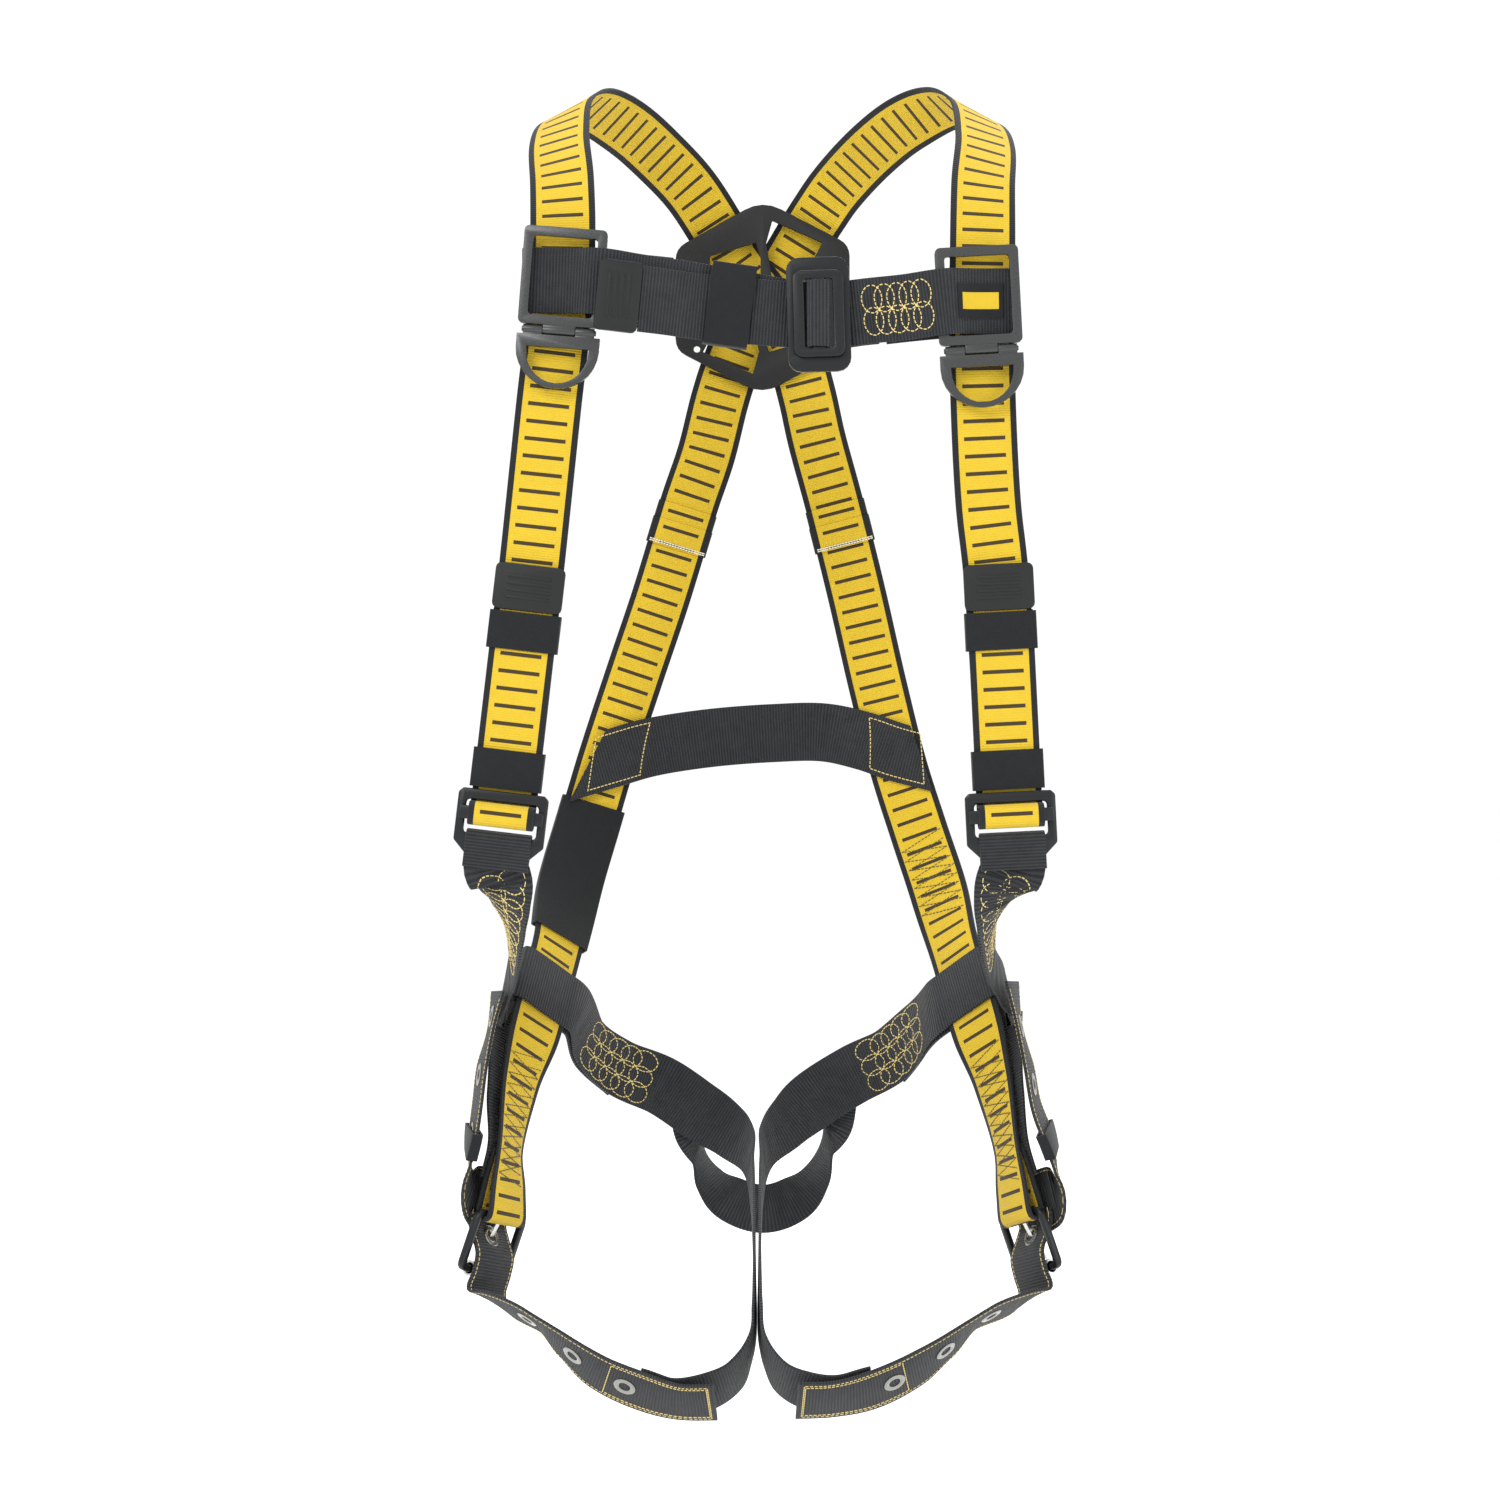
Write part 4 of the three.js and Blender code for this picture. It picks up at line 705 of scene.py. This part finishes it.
def look_of(kind):
    """The finish of that name, made once."""
    name = "Harness " + kind
    if name in bpy.data.materials:
        return bpy.data.materials[name]
    c = bpy.context.scene.harness_colours
    if kind == "marked webbing":
        return cloth_look(
            name, rgb(c.webbing, 0.84), rgb(c.webbing, 1.1), 0.0017, rungs=RUNG_BROWN,
            edge=rgb(c.dark_webbing, 0.8))
    # each cloth below mixes a shaded and a lit copy of its colour; the dark webbing carries the strongest
    # painted rib shading
    if kind == "dark webbing":
        return cloth_look(
            name, rgb(c.dark_webbing, 0.35), rgb(c.dark_webbing, 2.3), 0.0022, roughness=0.75,
            depth=0.0006, painted_rib_shade=0.34)
    if kind == "elastic":
        return cloth_look(
            name, rgb(c.dark_webbing, 0.45), rgb(c.dark_webbing, 0.95), 0.0011, roughness=0.9, depth=0.0002)
    if kind == "label cloth":
        return cloth_look(name, rgb(c.dark_webbing, 0.42), rgb(c.dark_webbing, 0.7), 0.0008, depth=0.0001)
    if kind == "plain label":
        return cloth_look(name, rgb(c.webbing, 0.85), rgb(c.webbing, 1.05), 0.0009, depth=0.0001)
    if kind == "thread":
        return blank_look(name, Base_Color=rgb(c.thread), Roughness=0.6)[0]
    if kind == "pale thread":
        return blank_look(name, Base_Color=PALE_THREAD, Roughness=0.6)[0]
    if kind == "dark thread":
        return blank_look(name, Base_Color=DARK_THREAD, Roughness=0.6)[0]
    if kind == "grey steel":
        return hard_look(name, c.steel, 0.24, 0.36, 0.6)
    if kind == "black steel":
        return hard_look(name, c.dark_steel, 0.26, 0.4, 0.3, shine=0.4)
    if kind == "grommet plate":
        return hard_look(name, GROMMET_PLATE, 0.2, 0.34, 1.0)
    if kind == "zinc":
        return hard_look(name, c.zinc, 0.2, 0.34, 1.0)
    return hard_look(name, c.plastic, 0.4, 0.55, 0.0, 1400.0, 0.00008, 0.25)


# ------------------------------------------------------------------ pieces
def body_with(node):
    """The moving body that carries a node of the frame."""
    for body, nodes in frame["record"]["behaviour"]["bodies"].items():
        if node in nodes:
            return body
    raise RuntimeError("no body carries " + node)


def strap(node, key, look):
    """One strap of webbing along its whole route."""
    route = ROUTES[key]
    bm = strap_blank(route.width, route.length, route.thick)
    lay(bm, route, 0.0)
    return shown(bm, node + "_cloth", look_of(look), stands_for=(node,))


def rounded(node, look, radius, segments=3, sharp=35):
    """A fitting as the frame has it, with its edges eased."""
    bm = bmesh.new()
    bm.from_mesh(frame["nodes"][node].data)
    bmesh.ops.remove_doubles(bm, verts=bm.verts, dist=2e-6)
    bmesh.ops.dissolve_limit(
        bm, angle_limit=math.radians(1), verts=bm.verts, edges=bm.edges, use_dissolve_boundaries=False)
    crisp = [e for e in bm.edges if len(e.link_faces) == 2 and e.calc_face_angle(0) > math.radians(38)]
    bmesh.ops.bevel(
        bm, geom=crisp, offset=radius * MM, offset_type="OFFSET", segments=segments, profile=0.5,
        affect="EDGES", clamp_overlap=True, material=-1)
    bmesh.ops.recalc_face_normals(bm, faces=bm.faces)
    return shown(bm, node + "_finish", look_of(look), body_with(node), (node,), sharp)


def tube_on(node, route, start, length, width, inner, wall, look):
    """A keeper or sleeve slipped over a strap."""
    bm = tube_blank(width, length, inner, wall)
    lay(bm, route, start)
    return shown(bm, node + "_cloth", look_of(look), body_with(node), (node,))


def turned(m, profile, steps=28):
    """A round part spun from its profile of (radius, height), on a place in millimetres."""
    bm = bmesh.new()
    ring = [bm.verts.new((r * MM, 0, h * MM)) for r, h in profile]
    edges = [bm.edges.new((a, b)) for a, b in zip(ring, ring[1:] + ring[:1])]
    bmesh.ops.spin(
        bm, geom=ring + edges, axis=(0, 0, 1), cent=(0, 0, 0), dvec=(0, 0, 0), angle=2 * math.pi,
        steps=steps, use_merge=True)
    bmesh.ops.remove_doubles(bm, verts=bm.verts, dist=1e-6)
    bmesh.ops.recalc_face_normals(bm, faces=bm.faces)
    m = m.copy()
    m.translation *= MM
    bmesh.ops.transform(bm, matrix=m, verts=bm.verts)
    return bm


class HarnessSizes(bpy.types.PropertyGroup):
    """Sizes that a user may change"""

    stitch_pitch: bpy.props.FloatProperty(
        name="Stitch pitch", description="From one stitch to the next, in millimetres", default=3.0, min=1.0)
    thread_radius: bpy.props.FloatProperty(
        name="Thread radius", description="Half the thickness of the sewing thread, in millimetres",
        default=0.42, min=0.1)
    steel_rounding: bpy.props.FloatProperty(
        name="Steel rounding", description="How far the edges of forged steel are eased, in millimetres",
        default=1.3, min=0.1)


class HarnessColours(bpy.types.PropertyGroup):
    """Colours that a user may change"""

    webbing: bpy.props.FloatVectorProperty(
        name="Webbing", description="Main straps between their rungs",
        subtype="COLOR", size=3, default=(0.60, 0.41, 0.022), min=0, max=1)
    dark_webbing: bpy.props.FloatVectorProperty(
        name="Dark webbing", description="Leg, hip, chest and back straps",
        subtype="COLOR", size=3, default=(0.014, 0.015, 0.0172), min=0, max=1)
    thread: bpy.props.FloatVectorProperty(
        name="Thread", description="Sewing thread on dark webbing",
        subtype="COLOR", size=3, default=(0.66, 0.52, 0.2), min=0, max=1)
    steel: bpy.props.FloatVectorProperty(
        name="Ring steel", description="Links and lanyard rings",
        subtype="COLOR", size=3, default=(0.055, 0.056, 0.057), min=0, max=1)
    dark_steel: bpy.props.FloatVectorProperty(
        name="Buckle steel", description="Chest, torso and leg buckle frames",
        subtype="COLOR", size=3, default=(0.010, 0.011, 0.012), min=0, max=1)
    zinc: bpy.props.FloatVectorProperty(
        name="Zinc", description="Tongues, rollers and grommets",
        subtype="COLOR", size=3, default=(0.6, 0.6, 0.57), min=0, max=1)
    plastic: bpy.props.FloatVectorProperty(
        name="Plastic", description="Back pad and end caps",
        subtype="COLOR", size=3, default=(0.012, 0.0125, 0.013), min=0, max=1)


class HARNESS_OT_main_straps(bpy.types.Operator):
    """Lay the two shoulder-to-leg straps and fold their fall indicators"""

    bl_idname = "harness.main_straps"
    bl_label = "Main straps"

    def execute(self, context):
        folds = ((0, 17), (13, 20))  # each fold's start and length along the strap
        for side in ("right", "left"):
            strap(side + "_main_strap", side + "_main", "marked webbing")
        for side, top in (("right", (58, 122, 188)), ("left", (-55, 122, 186))):
            route = ROUTES[side + "_main"]
            start = route.near(*top)
            for i, (away, length) in enumerate(folds):
                bm = strap_blank(46.5 + i, length, 4.6 + 1.6 * i, 2.0, 2.0)
                lay(bm, route, start + away)
                shown(bm, f"{side}_fall_indicator_fold_{i + 1}", look_of("marked webbing"))
            bm = bmesh.new()
            for height in (-3.3, 3.3):
                for y in (30.2, 31.6):
                    stitch(bm, [(-21.5, y), (21.5, y)], height, pitch=2.2, run=1.9, thread=0.5)
            lay(bm, route, start)
            shown(bm, side + "_fall_indicator_thread", look_of("pale thread"))
        return {"FINISHED"}


class HARNESS_OT_dark_straps(bpy.types.Operator):
    """Lay the hip, seat, leg, chest, lumbar and sub-pelvic straps"""

    bl_idname = "harness.dark_straps"
    bl_label = "Dark straps"

    def execute(self, context):
        for side in ("right", "left"):
            for kind in ("hip", "seat", "leg", "chest"):
                strap(f"{side}_{kind}_strap", f"{side}_{kind}", "dark webbing")
        strap("sub_pelvic_strap", "sub_pelvic", "dark webbing")
        self.lumbar()
        return {"FINISHED"}

    def lumbar(self):
        """The lumbar strap, its ends cut along the slant of the back straps."""
        route = ROUTES["lumbar"]
        bm = strap_blank(route.width, route.length, route.thick)
        lay(bm, route, 0.0)
        for x, z, tilt, out in ((-131.6, -12, 0.47, -1), (123.8, -5, -0.33, 1)):
            way = Vector((math.cos(tilt) * out, 0, -math.sin(tilt) * out))
            cut = bmesh.ops.bisect_plane(
                bm, geom=bm.verts[:] + bm.edges[:] + bm.faces[:], plane_co=Vector((x, 0, z)) * MM,
                plane_no=way, clear_outer=True)
            rim = [e for e in cut["geom_cut"] if isinstance(e, bmesh.types.BMEdge)]
            bmesh.ops.edgeloop_fill(bm, edges=rim)
        cloth = look_of("dark webbing")
        shown(bm, "lumbar_strap_cloth", cloth, stands_for=("lumbar_strap",))


class HARNESS_OT_stitching(bpy.types.Operator):
    """Sew the looped, boxed, zigzag and edge stitching"""

    bl_idname = "harness.stitching"
    bl_label = "Stitching"

    def execute(self, context):
        sizes = context.scene.harness_sizes
        thread = {"pitch": sizes.stitch_pitch, "thread": sizes.thread_radius}
        self.looped(thread)
        self.boxed(thread)
        self.zigzags(thread)
        self.leg_edges(thread)
        self.sub_pelvic(thread)
        return {"FINISHED"}

    def looped(self, thread):
        """Bar tacks of the hip and seat straps and of the left chest strap."""
        for side, spot in (("right", (-176.8, -95, -103)), ("left", (165.6, -95, -103))):
            bm = bmesh.new()
            for height in (ON_FACE, -ON_FACE):
                looped_stitch(bm, 37, -22, 62, height, loops=8, **thread)
            sewn(side + "_hip_stitches", bm, side + "_hip", spot)
        for side, spot in (("right", (-88, 99, -251)), ("left", (84, 100, -241))):
            bm = bmesh.new()
            looped_stitch(bm, 41, -66, 6, ON_FACE, across=3, loops=5, **thread)
            sewn(side + "_seat_stitches", bm, side + "_seat", spot)
        bm = bmesh.new()
        looped_stitch(bm, 36, -24, 24, ON_FACE, loops=5, **thread)
        sewn("left_chest_stitches", bm, "left_chest", (94, -118, 302))

    def boxed(self, thread):
        """Boxes on the right chest strap and slanted ones on the lumbar strap."""
        bm = bmesh.new()
        box_stitch(bm, -19, -22, 19.5, 36, ON_FACE, **thread)
        box_stitch(bm, -16, -22, 17, 36, ON_FACE, **thread)
        sewn("right_chest_stitches", bm, "right_chest", (-84, -118.2, 316.5))
        half_wide, half_long = 18.5, 21
        for side, spot, lean in (("right", (-109, 113.5, -5), -0.47), ("left", (105, 114.7, -1), 0.33)):
            bm = bmesh.new()
            corners = []
            for x, y in ((-1, -1), (1, -1), (1, 1), (-1, 1)):
                corners.append((x * half_wide, y * half_long + lean * x * half_wide))
            stitch(bm, corners, ON_FACE, closed=True, **thread)
            sewn(side + "_lumbar_stitches", bm, "lumbar", spot)

    def zigzags(self, thread):
        """Dark zigzags behind the back straps and down their leg ends."""
        bm = bmesh.new()
        for y in (4, 12):
            zigzag_stitch(bm, 34, y, y + 62, -ON_FACE, turns=8, **thread)
        sewn("back_zigzag_stitches", bm, "right_main", (122, 111, -62), "dark thread")
        legs = (("right", "left_main", (-173, -8, -238)), ("left", "right_main", (168, -6, -237)))
        for side, key, spot in legs:
            bm = bmesh.new()
            for y in (-22, -14):
                zigzag_stitch(bm, 34, y, y + 92, -ON_FACE, turns=12, **thread)
            sewn(side + "_leg_zigzag_stitches", bm, key, spot, "dark thread")

    def leg_edges(self, thread):
        """Fine lines along both edges of the leg straps, and a box at the sewn end."""
        in_from_middle, in_from_end = 19.6, 4
        for side in ("right", "left"):
            route = ROUTES[side + "_leg"]
            bm = bmesh.new()
            for x in (-in_from_middle, in_from_middle):
                for height in (-ON_FACE, ON_FACE):
                    edge = [(x, in_from_end), (x, route.length - in_from_end)]
                    stitch(bm, edge, height, pitch=3.2, thread=0.36)
            box_stitch(bm, -17.5, 5, 17.5, 78, ON_FACE, **thread)
            stitch(bm, [(-in_from_middle, in_from_end), (in_from_middle, in_from_end)], ON_FACE, **thread)
            sewn(side + "_leg_edge_stitches", bm, side + "_leg", route.points[0])

    def sub_pelvic(self, thread):
        """A box at each sewn end of the sub-pelvic strap."""
        ends = (((-50, 116, -272), 2, 20), ((56, 116, -268), -20, -2))
        for i, (spot, y0, y1) in enumerate(ends):
            bm = bmesh.new()
            box_stitch(bm, -14, y0, 14, y1, ON_FACE, **thread)
            sewn(f"sub_pelvic_stitches_{i + 1}", bm, "sub_pelvic", spot)


class HARNESS_OT_steelwork(bpy.types.Operator):
    """Ease and finish the links, rings, buckles, tongues and rollers"""

    bl_idname = "harness.steelwork"
    bl_label = "Steelwork"

    def execute(self, context):
        soft = context.scene.harness_sizes.steel_rounding
        for side in ("right", "left"):
            rounded(side + "_chest_link", "grey steel", soft)
            rounded(side + "_lanyard_ring", "grey steel", soft)
            rounded(side + "_ring_pin", "grey steel", 0.3)
            rounded(side + "_torso_buckle", "black steel", 1.2)
            rounded(side + "_torso_slide_bar", "black steel", 0.8)
            rounded(side + "_leg_buckle", "black steel", 1.6)
            rounded(side + "_leg_tongue", "zinc", 0.6)
            rounded(side + "_leg_roller", "zinc", 0.4)
        rounded("dorsal_ring", "grey steel", 1.4)
        rounded("chest_buckle_frame", "black steel", 1.4)
        rounded("chest_buckle_plate", "black steel", 1.0)
        return {"FINISHED"}


class HARNESS_OT_grommets(bpy.types.Operator):
    """Set the spread grommets in the leg straps"""

    bl_idname = "harness.grommets"
    bl_label = "Grommets"

    def execute(self, context):
        back = [(4.2, -1.5), (4.7, -1.9), (6.0, -2.05), (7.4, -1.9), (8.0, -1.5), (8.0, -1.3), (4.9, -1.25)]
        profile = back + [(radius, -height) for radius, height in reversed(back)]
        for side in ("right", "left"):
            route = ROUTES[side + "_leg"]
            for i in range(1, 8):
                node = f"{side}_grommet_{i}"
                low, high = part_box(node)
                middle = (low + high) / 2 / MM
                p, T, W, N = route.at(route.near(*middle))
                m = Matrix((W, T, N)).transposed().to_4x4()
                m.translation = middle
                spun = turned(m, profile)
                shown(spun, node + "_finish", look_of("grommet plate"), stands_for=(node,))
        return {"FINISHED"}


class HARNESS_OT_mouldings(bpy.types.Operator):
    """Finish the dorsal pad and the moulded end caps"""

    bl_idname = "harness.mouldings"
    bl_label = "Mouldings"

    def execute(self, context):
        rounded("dorsal_pad", "plastic", 1.0)
        for node in ("right_torso_end_cap", "left_torso_end_cap", "chest_end_cap"):
            rounded(node, "plastic", 0.7)
        return {"FINISHED"}


class HARNESS_OT_keepers(bpy.types.Operator):
    """Slip the elastic keepers over their straps"""

    bl_idname = "harness.keepers"
    bl_label = "Keepers"

    def execute(self, context):
        wide, wall = 46.5, 1.4
        for side, m in (("right", RIGHT_TORSO), ("left", LEFT_TORSO)):
            for kind, z0, z1, y, inner in (("upper", 114, 140, 5.35, 6.6), ("lower", 18, 45, 5.75, 7.6)):
                run = Route(in_place(m, [[0, y, z0, 0, -1, 0], [0, y, z1, 0, -1, 0]]))
                tube_on(f"{side}_{kind}_keeper", run, 0, z1 - z0, wide, inner, wall, "elastic")
        long = 19
        for side, spot in (("right", (-204, -46, -278)), ("left", (204, -48, -277))):
            route = ROUTES[side + "_leg"]
            start = route.near(*spot) - long / 2
            tube_on(side + "_leg_keeper", route, start, long, wide, 5.2, wall, "elastic")
        run = Route([[-36, -117.3, 306, 0, -1, 0], [-21, -116.4, 304, 0, -1, 0], [-6, -115.9, 302, 0, -1, 0]])
        tube_on("chest_keeper", run, 0, run.length, 54, 8, wall, "elastic")
        return {"FINISHED"}


class HARNESS_OT_labels(bpy.types.Operator):
    """Add the fabric sleeve and the plain woven patch"""

    bl_idname = "harness.labels"
    bl_label = "Sleeve and patch"

    def execute(self, context):
        route = ROUTES["left_main"]
        start, end = route.near(-128, 116, -42), route.near(-151.5, 66, -141)
        tube_on("label_sleeve", route, start, end - start, 47.5, 5.6, 1.2, "label cloth")
        route = ROUTES["left_chest"]
        start, end = route.near(166, -112.7, 307.6), route.near(134, -119.5, 306.5)
        length = end - start
        bm = strap_blank(24, length, 0.8, 2, 0.2)
        lay(bm, route, start, 1.8)
        shown(bm, "chest_patch_cloth", look_of("label cloth"), stands_for=("chest_patch",))
        margin = 0.09
        bm = strap_blank(11.5, length * (1 - 2 * margin), 0.4, 2, 0.1)
        lay(bm, route, start + length * margin, 2.3)
        shown(bm, "chest_patch_panel", look_of("plain label"))
        return {"FINISHED"}


class HARNESS_OT_stage(bpy.types.Operator):
    """Set the pale floor, the studio lights and the camera"""

    bl_idname = "harness.stage"
    bl_label = "Stage"

    def execute(self, context):
        scene = context.scene
        self.floor(scene)
        world = bpy.data.worlds.new("Studio")
        world.use_nodes = True
        world.node_tree.nodes["Background"].inputs["Color"].default_value = (1, 1, 1, 1)
        world.node_tree.nodes["Background"].inputs["Strength"].default_value = 1.06
        scene.world = world
        scene.view_settings.view_transform = "Standard"
        self.lights(scene)
        lens = bpy.data.cameras.new("Camera")
        lens.sensor_width = 36
        lens.lens = 66.1
        camera = bpy.data.objects.new("Camera", lens)
        camera.location = (-0.00726, -2.0, 0)
        camera.rotation_euler = (math.pi / 2, 0, 0)
        scene.collection.objects.link(camera)
        scene.camera = camera
        return {"FINISHED"}

    def floor(self, scene):
        """A wide pale disc below the harness."""
        bm = bmesh.new()
        bmesh.ops.create_circle(bm, cap_ends=True, segments=64, radius=30)
        bmesh.ops.translate(bm, vec=(0, 0, -0.62), verts=bm.verts)
        mesh = bpy.data.meshes.new("Floor")
        bm.to_mesh(mesh)
        bm.free()
        pale = blank_look(
            "Studio floor", Base_Color=(0.96, 0.96, 0.96, 1), Roughness=1.0, Specular_IOR_Level=0.1)[0]
        mesh.materials.append(pale)
        floor = bpy.data.objects.new("Floor", mesh)
        scene.collection.objects.link(floor)

    def lights(self, scene):
        """Four soft lamps that look at the origin, as name, place, size and power."""
        lamps = (
            ("Key", (-1.3, -2.3, 1.5), 1.2, 42),
            ("Fill", (1.9, -1.9, 0.3), 1.4, 16),
            ("Top", (0.2, 0.6, 2.1), 1.2, 26),
            ("Back", (0.8, 2.4, 0.9), 1.4, 20),
        )
        for name, where, size, power in lamps:
            lamp = bpy.data.lights.new(name, "AREA")
            lamp.energy = power
            lamp.size = size
            light = bpy.data.objects.new(name, lamp)
            light.location = where
            light.rotation_euler = (Vector((0, 0, 0)) - Vector(where)).to_track_quat("-Z", "Y").to_euler()
            scene.collection.objects.link(light)


OPERATORS = (
    HARNESS_OT_stage, HARNESS_OT_main_straps, HARNESS_OT_dark_straps, HARNESS_OT_stitching,
    HARNESS_OT_steelwork, HARNESS_OT_grommets, HARNESS_OT_mouldings, HARNESS_OT_keepers, HARNESS_OT_labels,
)


class HARNESS_PT_panel(bpy.types.Panel):
    """Everything that makes up the harness"""

    bl_label = "Safety harness"
    bl_space_type = "VIEW_3D"
    bl_region_type = "UI"
    bl_category = "Harness"

    def draw(self, context):
        for owner in (context.scene.harness_sizes, context.scene.harness_colours):
            for name in owner.__annotations__:
                self.layout.prop(owner, name)
        for operator in OPERATORS:
            self.layout.operator(operator.bl_idname)


CLASSES = (HarnessSizes, HarnessColours, *OPERATORS, HARNESS_PT_panel)


def register():
    """Adds the classes and the settings kept on the scene."""
    for item in CLASSES:
        bpy.utils.register_class(item)
    bpy.types.Scene.harness_sizes = bpy.props.PointerProperty(type=HarnessSizes)
    bpy.types.Scene.harness_colours = bpy.props.PointerProperty(type=HarnessColours)


def unregister():
    """Takes away what register adds."""
    del bpy.types.Scene.harness_colours
    del bpy.types.Scene.harness_sizes
    for item in reversed(CLASSES):
        bpy.utils.unregister_class(item)


def main():
    """Builds every group of the harness, one operator after another."""
    register()
    for operator in OPERATORS:
        group_name, call = operator.bl_idname.split(".")
        getattr(getattr(bpy.ops, group_name), call)()


if __name__ == "__main__":
    main()
